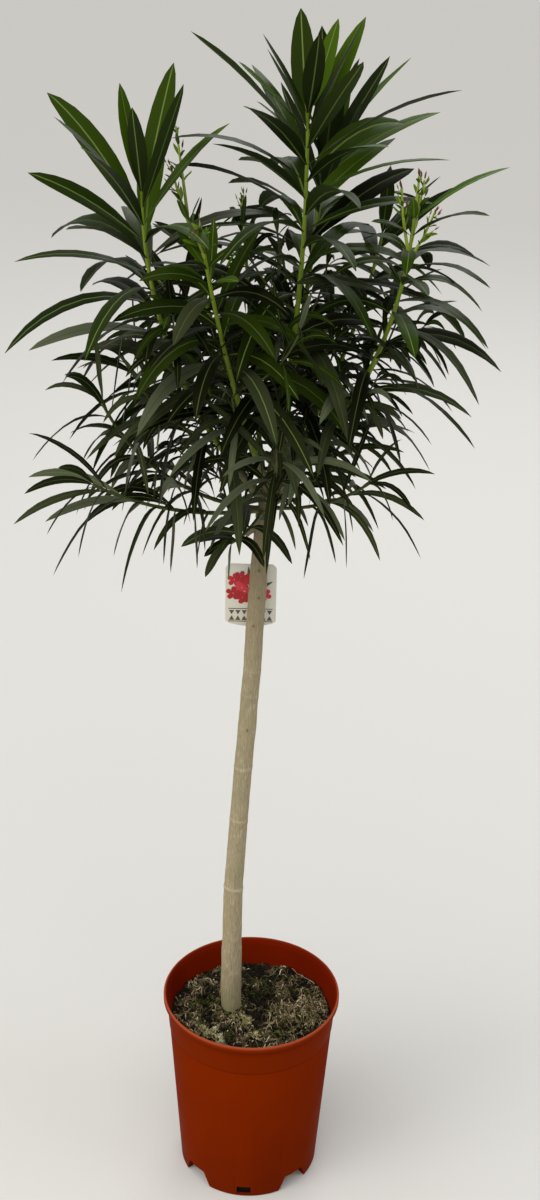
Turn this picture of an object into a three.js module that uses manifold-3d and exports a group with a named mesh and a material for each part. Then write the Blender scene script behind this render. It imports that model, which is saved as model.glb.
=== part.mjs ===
// A potted oleander grown as a standard: one bare stem in a plastic nursery pot, with a loose head of
// leafy shoots. Millimetres, +Z up. The origin is the centre of the pot's flat underside.
import * as THREE from "three";
import { mergeVertices } from "three/addons/utils/BufferGeometryUtils.js";
import Module from "manifold-3d";

const wasm = await Module();
wasm.setup();

// ---------------------------------------------------------------- driving dimensions

const GAP = 0.3; // air between two touching pieces
const UP = new THREE.Vector3(0, 0, 1);

const POT = {
  height: 248,
  rimRadius: 105,
  footRadius: 83.4,
  wall: 2.2,
  taper: 0.0694, // how much the radius grows for each millimetre of height
  lipHeight: 7.5,
  lipWidth: 4.2,
  collarHeight: 204, // where the wall steps out a little, so that stacked pots come apart
  collarStep: 0.8,
  sides: 36,
};

// The wall's foot is cut away at four corners, and each foot between them has a drain slot.
const NOTCH = { height: 21, depth: 24, footAngle: 31, topAngle: 18, turn: -3 };
const DRAIN = { width: 17, low: 2.5, high: 15.5 };

const SOIL = { top: 213, bump: 5, rings: 5, sides: 22, seat: 16.5 };

// The stem, from the soil to the fork: [x, y, height, diameter]. It is flared at the foot, leans to
// the right, narrows into its head, and is ringed by a scar wherever a whorl of leaves once stood.
const STEM = [
  [-24.3, 6, SOIL.top + GAP, 31],
  [-24.4, 6, 219, 28],
  [-24.6, 6, 229, 26],
  [-24.9, 6, 247, 25.1],
  [-24.5, 6, 285, 24],
  [-24.2, 6, 325, 22.9],
  [-23.6, 6, 389, 22],
  [-23.4, 6, 394, 23.6],
  [-23.2, 6, 399, 21.9],
  [-20.6, 6, 445, 21.3],
  [-18.5, 6, 484, 20.8],
  [-18.2, 6, 488, 21.8],
  [-17.9, 6, 492, 20.7],
  [-14.4, 6, 555, 20.3],
  [-14.2, 6, 559, 21.3],
  [-13.9, 6, 563, 20.2],
  [-10.5, 6, 611, 20.1],
  [-8.3, 6, 650, 19.6],
  [-6, 6, 683, 19.6],
  [-3.8, 6, 742, 19.3],
  [-0.4, 6, 808, 18.4],
  [0.2, 6, 832, 16.6],
  [1.6, 6, 856, 14.4],
  [4, 6, 880, 13.4],
  [7.4, 6, 903, 12.4],
  [7.8, 6, 908, 10],
];
const STEM_SIDES = 10;
// The stump of a cut branch on the left of the head: root, end and radii.
const STUB = { root: [0, 6, 859], end: [-16, 4, 847], radius: [4.6, 3.4] };

// Shoots: where each leaves the stem, the way it goes, its slope there and at its tip, its length,
// the length of its leaves, how far below its tip they have opened out, and its flower stalk, if any.
// Azimuth 0 is +X and 90 is +Y, away from the front.
const SHOOTS = [
  { name: "leader", from: 905, azimuth: -38, slope: [77, 92], length: 388, leaf: 150, open: 68, buds: 0 },
  { name: "back_leader", from: 899, azimuth: 62, slope: [64, 80], length: 368, leaf: 140, open: 80, buds: 0 },
  { name: "front", from: 899, azimuth: -117, slope: [57, 72], length: 326, leaf: 130, open: 52, buds: 14 },
  { name: "left_back", from: 897, azimuth: 142, slope: [60, 76], length: 296, leaf: 134, open: 56, buds: 84 },
  { name: "right_front", from: 889, azimuth: -18, slope: [44, 88], length: 358, leaf: 140, open: 42, buds: 40 },
  { name: "right_back", from: 888, azimuth: 38, slope: [46, 76], length: 300, leaf: 128, open: 62, buds: 0 },
  { name: "back", from: 888, azimuth: 100, slope: [40, 72], length: 300, leaf: 132, open: 65, buds: 30 },
  { name: "left_tall", from: 885, azimuth: -168, slope: [48, 90], length: 360, leaf: 160, open: 36, buds: 0 },
  { name: "mid_front", from: 884, azimuth: -84, slope: [26, 56], length: 160, leaf: 100, open: 40, buds: 0 },
  { name: "mid_left", from: 882, azimuth: 160, slope: [34, 46], length: 204, leaf: 112, open: 50, buds: 0 },
  { name: "far_right", from: 878, azimuth: 20, slope: [40, 76], length: 250, leaf: 118, open: 50, buds: 0 },
  { name: "back_left", from: 879, azimuth: 124, slope: [26, 62], length: 250, leaf: 120, open: 60, buds: 0 },
  { name: "low_right", from: 878, azimuth: -34, slope: [8, 42], length: 140, leaf: 96, open: 40, buds: 0 },
  { name: "low_left", from: 875, azimuth: -176, slope: [5, 66], length: 214, leaf: 108, open: 50, buds: 0 },
  { name: "lowest_left", from: 875, azimuth: -150, slope: [3, 34], length: 206, leaf: 108, open: 44, buds: 0 },
  { name: "low_back", from: 876, azimuth: 82, slope: [5, 50], length: 205, leaf: 108, open: 44, buds: 0 },
  { name: "low_right_back", from: 875, azimuth: 46, slope: [3, 40], length: 140, leaf: 92, open: 40, buds: 0 },
  { name: "low_front", from: 876, azimuth: -108, slope: [-10, 16], length: 105, leaf: 92, open: 26, buds: 0 },
];
const LONGEST_SHOOT = 385;
const SHORTEST_SHOOT = 130;
const BARE_SHARE = 0.17; // how much of a shoot has shed its leaves and stands as a bough
const BOUGH = { radius: [2.5, 5.2], tipShare: 0.74, sides: 6, rings: 3 };
const TWIG = { radius: [2.6, 4.2], tipRadius: 2.2, sides: 3, rings: 6 };

// Leaves stand in whorls of three. Pairs are [on the weakest shoot, on the strongest].
const LEAF = {
  width: [15, 25],
  spacing: [18, 27],
  sag: [1.7, 0.85],
  thickness: 0.0115, // share of the leaf's length
  steps: 8,
};
const WHORL = 3;
const YOUNG_SPACING = 6; // between the first whorls under a tip
const TIP_ANGLE = 14; // between the youngest leaves and their twig, in degrees
const OLD_ANGLE = 76;
const ROOM = 0.55; // clear space kept round each leaf
const CROWN = { reach: 272, foot: 820, top: 1386 }; // no leaf goes beyond these
const TRIES = 5;
const SEED = 20;

const BUD = { length: 15, radius: 2.6, stalk: 1.3, count: 3 };

// The care label: a card behind the stem, on a strap that loops round it.
const LABEL = {
  width: 55,
  height: 74,
  thickness: 1,
  centreX: -9,
  foot: 731,
  face: 18.5, // Y of the side that faces the front
  corner: 7,
  bulge: 4,
  strapWidth: 6,
  loopLow: 866.5,
  loopHigh: 871.5,
  loopWall: 1,
  loopRadius: 8.6,
};

const COLOURS = {
  pot: 0x8a2f10,
  soil: 0x3b3023,
  stem: 0x8f8163,
  bough: 0x56601f,
  foliage: 0x223f14,
  label: 0xd9d3c4,
};

// ---------------------------------------------------------------- tools

const radians = THREE.MathUtils.degToRad;
const lerp = THREE.MathUtils.lerp;
const smooth = THREE.MathUtils.smoothstep;

// A number from 0 to 1 that depends only on its keys, so that one leaf never changes another's draw.
function chance(...keys) {
  let h = SEED;
  for (const key of keys) {
    h = Math.imul(h ^ (key + 0x7f4a7c15), 0x85ebca6b);
    h = Math.imul(h ^ (h >>> 13), 0xc2b2ae35);
    h ^= h >>> 16;
  }
  return (h >>> 0) / 4294967296;
}

const swing = (size, ...keys) => size * (2 * chance(...keys) - 1);

function solidOf(geometry) {
  const bare = geometry.clone();
  bare.deleteAttribute("normal");
  bare.deleteAttribute("uv");
  const merged = mergeVertices(bare, 1e-4);
  return new wasm.Manifold(
    new wasm.Mesh({
      numProp: 3,
      vertProperties: merged.attributes.position.array,
      triVerts: new Uint32Array(merged.index.array),
    }),
  );
}

function geometryOf(solid) {
  const { vertProperties, triVerts } = solid.getMesh();
  return new THREE.BufferGeometry()
    .setAttribute("position", new THREE.BufferAttribute(vertProperties, 3))
    .setIndex(new THREE.BufferAttribute(triVerts, 1));
}

const joined = (solids) => wasm.Manifold.union(solids);
const touch = (a, b) => !a.intersect(b).isEmpty();

// A closed lathe about Z from [radius, height] pairs.
function turned(profile, sides) {
  const points = profile.map(([r, z]) => new THREE.Vector2(r, z));
  return new THREE.LatheGeometry(points, sides).rotateX(Math.PI / 2);
}

// The two directions across a curve at a share of its length, turned about it by its roll.
function frameOf(curve, t) {
  const along = curve.getTangent(t);
  const normal = new THREE.Vector3().crossVectors(along, curve.side).normalize();
  normal.applyAxisAngle(along, curve.roll);
  return { along, normal, binormal: new THREE.Vector3().crossVectors(along, normal) };
}

// A round limb along a curve: a cylinder whose rings are carried to the curve's frames.
function limb(curve, radiusAt, sides, rings) {
  const geometry = new THREE.CylinderGeometry(1, 1, 1, sides, rings);
  const place = geometry.attributes.position;
  for (let i = 0; i < place.count; i++) {
    const ring = Math.round((place.getY(i) + 0.5) * rings);
    const { normal, binormal } = frameOf(curve, ring / rings);
    const radius = radiusAt(ring / rings);
    const point = curve.getPoint(ring / rings);
    point.addScaledVector(binormal, place.getX(i) * radius);
    point.addScaledVector(normal, place.getZ(i) * radius);
    place.setXYZ(i, point.x, point.y, point.z);
  }
  return solidOf(geometry);
}

// ---------------------------------------------------------------- pot and soil

const wallRadius = (z) => POT.footRadius + POT.taper * z;

// The four cut-away corners, grown by a margin for the plastic or the soil that lines them.
function corners(grow) {
  const inner = wallRadius(0) - NOTCH.depth - grow;
  const outer = POT.rimRadius + 10;
  const high = NOTCH.height + grow;
  return joined(
    [45, 135, 225, 315].map((middle) => {
      const across = (angle, radius) => radius * Math.tan(radians(angle / 2)) + grow;
      const mouth = wallRadius(0);
      const shape = new THREE.Shape([
        new THREE.Vector2(-across(NOTCH.footAngle, mouth), -5),
        new THREE.Vector2(across(NOTCH.footAngle, mouth), -5),
        new THREE.Vector2(across(NOTCH.topAngle, mouth), high),
        new THREE.Vector2(-across(NOTCH.topAngle, mouth), high),
      ]);
      const wedge = new THREE.ExtrudeGeometry(shape, {
        depth: outer - inner,
        bevelEnabled: false,
      });
      wedge.rotateX(Math.PI / 2).translate(0, -inner, 0);
      return solidOf(wedge.rotateZ(radians(middle + NOTCH.turn)));
    }),
  );
}

function drainSlots() {
  return [0, 90, 180, 270].map((middle) => {
    const slot = new THREE.BoxGeometry(DRAIN.width, 3 * POT.wall, DRAIN.high - DRAIN.low);
    slot.translate(0, -wallRadius(0), (DRAIN.high + DRAIN.low) / 2);
    return solidOf(slot.rotateZ(radians(middle + NOTCH.turn)));
  });
}

// The hollow of the pot, shrunk by a margin, up to a height.
function hollow(shrink, top) {
  const inside = (z) => wallRadius(z) - POT.wall - shrink;
  const floor = POT.wall + shrink;
  const profile = [
    [0, floor],
    [inside(floor), floor],
    [inside(top), top],
    [0, top],
  ];
  return solidOf(turned(profile, POT.sides)).subtract(corners(POT.wall + shrink));
}

function makePot() {
  const { height, rimRadius, lipHeight, lipWidth, collarHeight, collarStep } = POT;
  const lipFoot = height - lipHeight;
  const outside = [
    [0, 0],
    [wallRadius(0) - 1.5, 0],
    [wallRadius(2), 2],
    [wallRadius(collarHeight), collarHeight],
    [wallRadius(collarHeight) + collarStep, collarHeight + 1],
    [wallRadius(lipFoot) + collarStep, lipFoot],
    [rimRadius - 1.2, lipFoot],
    [rimRadius, lipFoot + 1.5],
    [rimRadius, height - 1.5],
    [rimRadius - 1.2, height],
    [0, height],
  ];
  const mouth = [
    [0, lipFoot],
    [wallRadius(lipFoot) - POT.wall, lipFoot],
    [rimRadius - lipWidth, height],
    [rimRadius - lipWidth, height + 5],
    [0, height + 5],
  ];
  return solidOf(turned(outside, POT.sides))
    .subtract(corners(0))
    .subtract(hollow(0, lipFoot + 1))
    .subtract(solidOf(turned(mouth, POT.sides)))
    .subtract(joined(drainSlots()));
}

const stemFoot = new THREE.Vector2(STEM[0][0], STEM[0][1]);

// The height of the soil: lumpy, but level under the stem and low along the pot's wall.
function soilHeight(x, y) {
  const wave = Math.sin(x / 11 + 1) * Math.cos(y / 9) + 0.6 * Math.sin((x - y) / 6.5);
  const clear = smooth(Math.hypot(x - stemFoot.x, y - stemFoot.y), 17, 34);
  const edge = 1 - smooth(Math.hypot(x, y), 70, 95);
  return SOIL.top + SOIL.bump * (0.35 + 0.5 * wave) * clear * (0.4 + 0.6 * edge);
}

function makeSoil() {
  const top = SOIL.top;
  const room = hollow(GAP, top + 20);
  const reach = wallRadius(top + 20) + 5;
  const profile = [[0, -5], [reach, -5]];
  for (let ring = SOIL.rings; ring >= 0; ring--) profile.push([(reach * ring) / SOIL.rings, top]);
  const mound = turned(profile, SOIL.sides);
  const place = mound.attributes.position;
  for (let i = 0; i < place.count; i++) {
    if (place.getZ(i) > 0) place.setZ(i, soilHeight(place.getX(i), place.getY(i)));
  }
  const seat = new THREE.CylinderGeometry(SOIL.seat, SOIL.seat, 20, SOIL.sides).rotateX(Math.PI / 2);
  seat.translate(stemFoot.x, stemFoot.y, top + 10);
  return solidOf(mound).subtract(solidOf(seat)).intersect(room);
}

// ---------------------------------------------------------------- stem

const stemLine = new THREE.CatmullRomCurve3(STEM.map(([x, y, z]) => new THREE.Vector3(x, y, z)));
stemLine.side = new THREE.Vector3(0, 1, 0);
stemLine.roll = 0;

// The point of the stem's centre line at a height.
function stemAt(height) {
  const above = STEM.findIndex((station) => station[2] >= height);
  const [low, high] = [STEM[above - 1], STEM[above]];
  const share = (height - low[2]) / (high[2] - low[2]);
  return new THREE.Vector3(lerp(low[0], high[0], share), lerp(low[1], high[1], share), height);
}

// The stem and its stub, grown by a margin when it is used to cut what grows out of it.
function makeStem(grow) {
  const last = STEM.length - 1;
  const radiusAt = (t) => STEM[Math.round(t * last)][3] / 2 + grow;
  const solids = [limb(stemLine, radiusAt, STEM_SIDES, last)];
  const { root, end, radius } = STUB;
  const stub = new THREE.LineCurve3(new THREE.Vector3(...root), new THREE.Vector3(...end));
  stub.side = UP;
  stub.roll = 0;
  solids.push(limb(stub, (t) => lerp(radius[0], radius[1], t) + grow, 8, 1));
  if (grow) {
    const head = new THREE.CylinderGeometry(5 + grow, 5 + grow, 2 * grow, STEM_SIDES);
    solids.push(solidOf(head.rotateX(Math.PI / 2).translate(...STEM[last].slice(0, 3))));
  }
  return joined(solids);
}

// ---------------------------------------------------------------- shoots

// A shoot's line rises in one vertical plane and turns evenly from its first slope to its last.
class ShootLine extends THREE.Curve {
  constructor(start, away, slope, length, roll) {
    super();
    this.start = start;
    this.away = away;
    this.side = new THREE.Vector3().crossVectors(UP, away);
    this.slope = slope;
    this.length = length;
    this.roll = roll;
  }
  getPoint(t, target = new THREE.Vector3()) {
    const [first, last] = this.slope;
    const now = lerp(first, last, t);
    const bend = this.length / (last - first);
    return target
      .copy(this.start)
      .addScaledVector(this.away, bend * (Math.sin(now) - Math.sin(first)))
      .addScaledVector(UP, bend * (Math.cos(first) - Math.cos(now)));
  }
  getTangent(t, target = new THREE.Vector3()) {
    const now = lerp(this.slope[0], this.slope[1], t);
    return target.copy(this.away).multiplyScalar(Math.cos(now)).addScaledVector(UP, Math.sin(now));
  }
  // The piece of the line between two shares of its length.
  part(from, to) {
    const slope = [from, to].map((t) => lerp(this.slope[0], this.slope[1], t));
    return new ShootLine(this.getPoint(from), this.away, slope, this.length * (to - from), this.roll);
  }
}

function shootLine({ from, azimuth, slope, length }, index) {
  const away = new THREE.Vector3(Math.cos(radians(azimuth)), Math.sin(radians(azimuth)), 0);
  return new ShootLine(stemAt(from), away, slope.map(radians), length, radians(47 * index));
}

const vigour = (length) => smooth(length, SHORTEST_SHOOT, LONGEST_SHOOT);
const between = ([weak, strong], share) => lerp(weak, strong, share);

function makeBough(shoot, grow) {
  const radius = between(BOUGH.radius, vigour(shoot.length));
  const taper = (t) => radius * lerp(1, BOUGH.tipShare, t) + grow;
  return limb(shootLine(shoot, 0).part(0, BARE_SHARE), taper, BOUGH.sides, BOUGH.rings);
}

// ---------------------------------------------------------------- leaves

// The centre line of a leaf: it leaves its twig at an angle, and its own weight bends it down.
function leafLine(root, way, length, sag) {
  const points = [root.clone()];
  for (let i = 0; i < LEAF.steps; i++) {
    const now = way.clone().addScaledVector(UP, -sag * ((i + 0.5) / LEAF.steps)).normalize();
    points.push(points.at(-1).clone().addScaledVector(now, length / LEAF.steps));
  }
  return points;
}

// A leaf as eight faces: an upright edge at the root, the widest place with a keel, and the tip.
// With a share skipped, it begins that far out instead of in its twig.
function leafSolid({ root: base, way, face, length, width, sag }, grow = 0, skipped = 0) {
  const points = leafLine(base, way, length, sag);
  const root = points[Math.round(skipped * LEAF.steps)];
  const middle = points[LEAF.steps / 2];
  const tip = points[LEAF.steps].clone();
  const along = tip.clone().sub(root).normalize();
  const side = new THREE.Vector3().crossVectors(along, face).normalize();
  const top = new THREE.Vector3().crossVectors(side, along);
  const depth = LEAF.thickness * length;
  const half = width / 2 + grow;
  const vertices = [
    root.clone().addScaledVector(top, depth * 0.5 + grow),
    root.clone().addScaledVector(top, -depth * 0.8 - grow),
    middle.clone().addScaledVector(side, half).addScaledVector(top, grow),
    middle.clone().addScaledVector(side, -half).addScaledVector(top, grow),
    middle.clone().addScaledVector(top, -depth - grow),
    tip.addScaledVector(along, grow),
  ];
  const faces = [
    [0, 2, 3], [2, 5, 3], [0, 1, 2], [0, 3, 1],
    [1, 4, 2], [1, 3, 4], [2, 4, 5], [4, 3, 5],
  ];
  return solidOf(new THREE.BufferGeometry().setFromPoints(vertices).setIndex(faces.flat()));
}

// Distances from a twig's tip to its whorls: crowded in the bud, then evenly spaced.
function whorlPlaces(reach, strength) {
  const places = [];
  const spacing = between(LEAF.spacing, strength);
  let distance = 2;
  for (let k = 0; distance < reach; k++) {
    places.push(distance);
    distance += Math.min(spacing, YOUNG_SPACING + 4.5 * k);
  }
  return places;
}

// The leaf in one place of one whorl. Later tries turn it aside and shorten it.
function leafAt({ line, shoot, strength, index }, whorl, place, fromTip, attempt) {
  const keys = [index, whorl, place, attempt];
  const t = 1 - fromTip / line.length;
  const { along: stem, normal } = frameOf(line, t);
  const opened = 1 - Math.exp(-fromTip / shoot.open);
  const turn = 60 * whorl + (360 / WHORL) * place + swing(12 + 9 * attempt, ...keys, 1);
  const lean = lerp(TIP_ANGLE, OLD_ANGLE, opened) + swing(9 + 3 * attempt, ...keys, 2);
  const across = normal.clone().applyAxisAngle(stem, radians(turn));
  const way = stem.clone().applyAxisAngle(across, radians(lean));
  const face = stem.clone().addScaledVector(way, -stem.dot(way)).normalize();
  face.applyAxisAngle(way, radians(swing(16, ...keys, 3)));
  const young = shoot.buds ? 0.42 + 0.58 * (1 - Math.exp(-fromTip / 40)) : 0.6 + 0.4 * smooth(fromTip, 0, 30);
  const size = young * (1 + swing(0.1, ...keys, 4)) * (1 - 0.07 * attempt);
  const slack = opened * Math.hypot(way.x, way.y);
  return {
    root: line.getPoint(t),
    way,
    face,
    length: shoot.leaf * size,
    width: between(LEAF.width, strength) * (shoot.buds ? 0.3 + 0.62 * size : 0.4 + 0.6 * size),
    sag: between(LEAF.sag, strength) * slack * (1 + swing(0.5, ...keys, 5)),
  };
}

// Small pointed buds round the head of a flower stalk, which stands on the twig's tip.
function budCluster(line, stalk, twig) {
  const tip = line.getPoint(1);
  const rise = line.getTangent(1);
  const head = tip.clone().addScaledVector(rise, stalk);
  const middle = tip.clone().add(head).divideScalar(2);
  const post = new THREE.CylinderGeometry(BUD.stalk, BUD.stalk, stalk + 4, 3);
  const upright = new THREE.Quaternion().setFromUnitVectors(new THREE.Vector3(0, 1, 0), rise);
  const solids = [solidOf(post.applyQuaternion(upright).translate(...middle.toArray()))];
  for (let i = 0; i < BUD.count; i++) {
    const bud = new THREE.ConeGeometry(BUD.radius, BUD.length, 3).translate(0, BUD.length / 2 - 2, 0);
    bud.rotateX(radians(18 + 26 * chance(twig, i, 7)));
    bud.rotateY(radians((360 / BUD.count) * i));
    bud.applyQuaternion(upright).translate(...head.toArray());
    solids.push(solidOf(bud));
  }
  return solids;
}

// ---------------------------------------------------------------- label

function makeLabel() {
  const { width, height, corner, bulge, thickness, centreX, foot, face } = LABEL;
  const card = new THREE.Shape();
  const half = width / 2;
  card.moveTo(-half, bulge + corner);
  card.quadraticCurveTo(-half, bulge, -half + corner, bulge - 1);
  card.quadraticCurveTo(0, -bulge, half - corner, bulge - 1);
  card.quadraticCurveTo(half, bulge, half, bulge + corner);
  card.lineTo(half, height - corner);
  card.absarc(half - corner, height - corner, corner, 0, Math.PI / 2, false);
  card.lineTo(-half + corner, height);
  card.absarc(-half + corner, height - corner, corner, Math.PI / 2, Math.PI, false);
  const plate = new THREE.ExtrudeGeometry(card, {
    depth: thickness,
    bevelEnabled: false,
    curveSegments: 4,
  });
  plate.rotateX(Math.PI / 2).translate(centreX, face + thickness, foot);

  // The strap runs up from the card, and its loop is snug round the stem.
  const { loopLow, loopHigh, loopWall, strapWidth } = LABEL;
  const ring = stemAt(loopHigh);
  const radius = LABEL.loopRadius;
  const loop = new THREE.CylinderGeometry(radius, radius, loopHigh - loopLow, 16);
  loop.rotateX(Math.PI / 2).translate(ring.x, ring.y, (loopLow + loopHigh) / 2);
  const cardTop = foot + height;
  const side = new THREE.Shape([
    new THREE.Vector2(face, cardTop - 3),
    new THREE.Vector2(face + thickness, cardTop - 3),
    new THREE.Vector2(ring.y + radius, loopHigh),
    new THREE.Vector2(ring.y + radius - loopWall, loopHigh),
    new THREE.Vector2(ring.y + radius - loopWall, loopLow),
  ]);
  const strap = new THREE.ExtrudeGeometry(side, { depth: strapWidth, bevelEnabled: false });
  strap.rotateX(Math.PI / 2).rotateZ(Math.PI / 2).translate(ring.x - strapWidth / 2, 0, 0);
  return joined([solidOf(plate), solidOf(loop), solidOf(strap)]);
}

// ---------------------------------------------------------------- assembly

const plant = new THREE.Group();

function addPiece(name, solid, colour, roughness) {
  const material = new THREE.MeshStandardMaterial({ color: colour, roughness, metalness: 0 });
  const mesh = new THREE.Mesh(geometryOf(solid), material);
  mesh.name = name;
  plant.add(mesh);
  return solid;
}

addPiece("pot", makePot(), COLOURS.pot, 0.45);
addPiece("soil", makeSoil(), COLOURS.soil, 0.95);

const stem = addPiece("stem", makeStem(0), COLOURS.stem, 0.8);
let taken = makeStem(GAP);
const label = addPiece("care_label", makeLabel().subtract(taken), COLOURS.label, 0.5);

// Each bough is cut clear of the stem and of the boughs made before it.
const limbs = [stem, label];
for (const shoot of SHOOTS) {
  const pieces = makeBough(shoot, 0).subtract(taken).decompose();
  const bough = pieces.sort((a, b) => b.volume() - a.volume())[0];
  limbs.push(addPiece(`bough_${shoot.name}`, bough, COLOURS.bough, 0.7));
  taken = taken.add(makeBough(shoot, GAP));
}

// Every mass has its leafy stem first, so that no leaf of one mass grows through another's stem.
const masses = SHOOTS.map((shoot, index) => {
  const line = shootLine(shoot, index);
  const strength = vigour(shoot.length);
  const radius = between(TWIG.radius, strength);
  const twig = line.part(BARE_SHARE + GAP / line.length, 1);
  const solids = [limb(twig, (t) => lerp(radius, TWIG.tipRadius, t), TWIG.sides, TWIG.rings)];
  if (shoot.buds) solids.push(...budCluster(line, shoot.buds, index));
  return { shoot, index, line, strength, solid: joined(solids), leaves: 0 };
});

function inCrown({ root, way, length, sag }) {
  return leafLine(root, way, length, sag).every(
    (p) => Math.hypot(p.x, p.y) < CROWN.reach && p.z > CROWN.foot && p.z < CROWN.top,
  );
}

// Whether a leaf has room: clear of every limb and other mass, and of its own mass but for its root.
function fits(leaf, mass) {
  const wide = leafSolid(leaf, ROOM);
  const outer = leafSolid(leaf, ROOM, 0.25);
  return (
    inCrown(leaf) &&
    !limbs.some((piece) => touch(wide, piece)) &&
    !masses.some((other) => touch(other === mass ? outer : wide, other.solid))
  );
}

for (const mass of masses) {
  const { line, strength } = mass;
  const reach = line.length * (1 - BARE_SHARE) - 12;
  whorlPlaces(reach, strength).forEach((fromTip, whorl) => {
    for (let place = 0; place < WHORL; place++) {
      for (let attempt = 0; attempt < TRIES; attempt++) {
        const leaf = leafAt(mass, whorl, place, fromTip, attempt);
        if (!fits(leaf, mass)) continue;
        mass.solid = mass.solid.add(leafSolid(leaf));
        mass.leaves++;
        break;
      }
    }
  });
}

for (const { shoot, solid } of masses) {
  addPiece(`foliage_${shoot.name}`, solid, COLOURS.foliage, 0.5);
}

export default plant;
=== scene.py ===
# %% [markdown]
# # A potted oleander, grown as a standard
# The imported model is the fixed frame: a pot, its soil, one bare stem and a head of leafy shoots. Here
# each of its solids is replaced by a piece with the surface and the fine parts of the real plant. The
# frame is loaded first. Nothing may grow out of that box later.

# %% Load the frame
import math
from contextlib import contextmanager

import bpy
import numpy as np
from mathutils import Matrix, Vector, noise
from mathutils.bvhtree import BVHTree


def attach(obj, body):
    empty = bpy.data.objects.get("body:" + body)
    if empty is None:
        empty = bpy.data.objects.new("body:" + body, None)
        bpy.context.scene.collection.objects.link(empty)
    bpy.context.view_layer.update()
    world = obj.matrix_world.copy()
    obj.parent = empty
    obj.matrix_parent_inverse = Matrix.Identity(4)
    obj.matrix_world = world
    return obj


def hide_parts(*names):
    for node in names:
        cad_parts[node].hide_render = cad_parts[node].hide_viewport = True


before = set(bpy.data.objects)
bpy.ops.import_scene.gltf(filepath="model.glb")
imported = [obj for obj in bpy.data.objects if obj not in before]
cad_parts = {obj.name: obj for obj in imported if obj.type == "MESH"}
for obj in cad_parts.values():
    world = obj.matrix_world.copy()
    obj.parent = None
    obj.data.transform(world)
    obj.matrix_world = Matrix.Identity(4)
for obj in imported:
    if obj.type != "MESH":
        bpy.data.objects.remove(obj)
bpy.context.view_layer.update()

# %% [markdown]
# ## Camera
# The camera stands a little above the head of the plant and looks down on it, as a person does. It is
# rolled by about one degree, so its three directions are worked out and set as a matrix.

# %% Camera
CAMERA = {"place": (0.0118, -1.74, 1.65), "pitch": 26.777, "roll": 1.28, "lens": 54.73, "sensor": 36}


def camera_matrix(place, pitch, roll):
    pitch, roll = math.radians(pitch), math.radians(roll)
    ahead = Vector((0, math.cos(pitch), -math.sin(pitch)))
    right = Vector((1, 0, 0))
    up = right.cross(ahead)
    level = right * math.cos(roll) + up * math.sin(roll)
    above = up * math.cos(roll) - right * math.sin(roll)
    turn = Matrix((level, above, -ahead)).transposed().to_4x4()
    return Matrix.Translation(place) @ turn


bpy.ops.object.camera_add()
camera = bpy.context.object
camera.name = "camera"
camera.data.lens = CAMERA["lens"]
camera.data.sensor_width = CAMERA["sensor"]
camera.matrix_world = camera_matrix(CAMERA["place"], CAMERA["pitch"], CAMERA["roll"])
bpy.context.scene.camera = camera
print("camera at", tuple(camera.location), "lens", camera.data.lens)

# %% [markdown]
# ## Light and floor
# A plant looks natural under a wide sky, so most of the light comes from above, from a sun so wide that
# its shadows are soft. It lights the floor evenly as far as the camera sees. Panels on the left and
# right shape the pot, one behind gives the leaves an edge, and a pale world fills the rest. The view is
# set to plain colours, because leaves turn grey under a filmic curve.

# %% Light and floor
WIDE_SUN = {"strength": 2.1, "width": 75, "from": (-0.35, -0.55, 1.0), "colour": (1.0, 0.985, 0.95)}
PALE_SKY = {"strength": 0.4, "colour": (1.0, 0.99, 0.97, 1)}
PLANT_MIDDLE = Vector((0, 0, 0.7))
PANELS = [
    # name, place, size, watts, colour
    ("left_panel", (-2.6, -1.6, 1.9), 1.6, 30, (1.0, 0.97, 0.93)),
    ("right_panel", (2.6, -0.9, 1.6), 1.6, 18, (0.96, 0.98, 1.0)),
    ("back_panel", (0.6, 2.6, 2.6), 1.8, 26, (0.97, 0.99, 1.0)),
]


def aim(lamp, ahead):
    lamp.rotation_euler = Vector(ahead).to_track_quat("-Z", "Y").to_euler()


bpy.ops.object.light_add(type="SUN", location=(0, 0, 4))
sun = bpy.context.object
sun.name = "wide_sun"
sun.data.energy = WIDE_SUN["strength"]
sun.data.angle = math.radians(WIDE_SUN["width"])
sun.data.color = WIDE_SUN["colour"]
aim(sun, -Vector(WIDE_SUN["from"]))
for name, place, size, watts, colour in PANELS:
    bpy.ops.object.light_add(type="AREA", location=place)
    panel = bpy.context.object
    panel.name = name
    panel.data.size = size
    panel.data.energy = watts
    panel.data.color = colour
    aim(panel, PLANT_MIDDLE - Vector(place))

world = bpy.data.worlds.new("pale_sky")
bpy.context.scene.world = world
world.use_nodes = True
background = world.node_tree.nodes["Background"]
background.inputs["Color"].default_value = PALE_SKY["colour"]
background.inputs["Strength"].default_value = PALE_SKY["strength"]
bpy.context.scene.view_settings.view_transform = "Standard"
print("lit by a wide sun and", len(PANELS), "panels")

# %% [markdown]
# ## Helpers for modelling
# Sizes are given in millimetres, as on a drawing, and turned into metres when a mesh is made. The
# frame leaves its own nodes selected, and operators act on all that is selected, so every piece
# starts with nothing selected.

# %% Helpers
MM = 0.001


def clear_selection():
    if bpy.context.object and bpy.context.object.mode != "OBJECT":
        bpy.ops.object.mode_set(mode="OBJECT")
    bpy.ops.object.select_all(action="DESELECT")


def activate(piece):
    clear_selection()
    piece.select_set(True)
    bpy.context.view_layer.objects.active = piece


@contextmanager
def editing(action="SELECT"):
    """Edit mode on the active mesh, with all of it selected, or none."""
    bpy.ops.object.mode_set(mode="EDIT")
    bpy.ops.mesh.select_all(action=action)
    yield
    bpy.ops.object.mode_set(mode="OBJECT")


def apply_modifiers(piece):
    activate(piece)
    for modifier in list(piece.modifiers):
        bpy.ops.object.modifier_apply(modifier=modifier.name)


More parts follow.
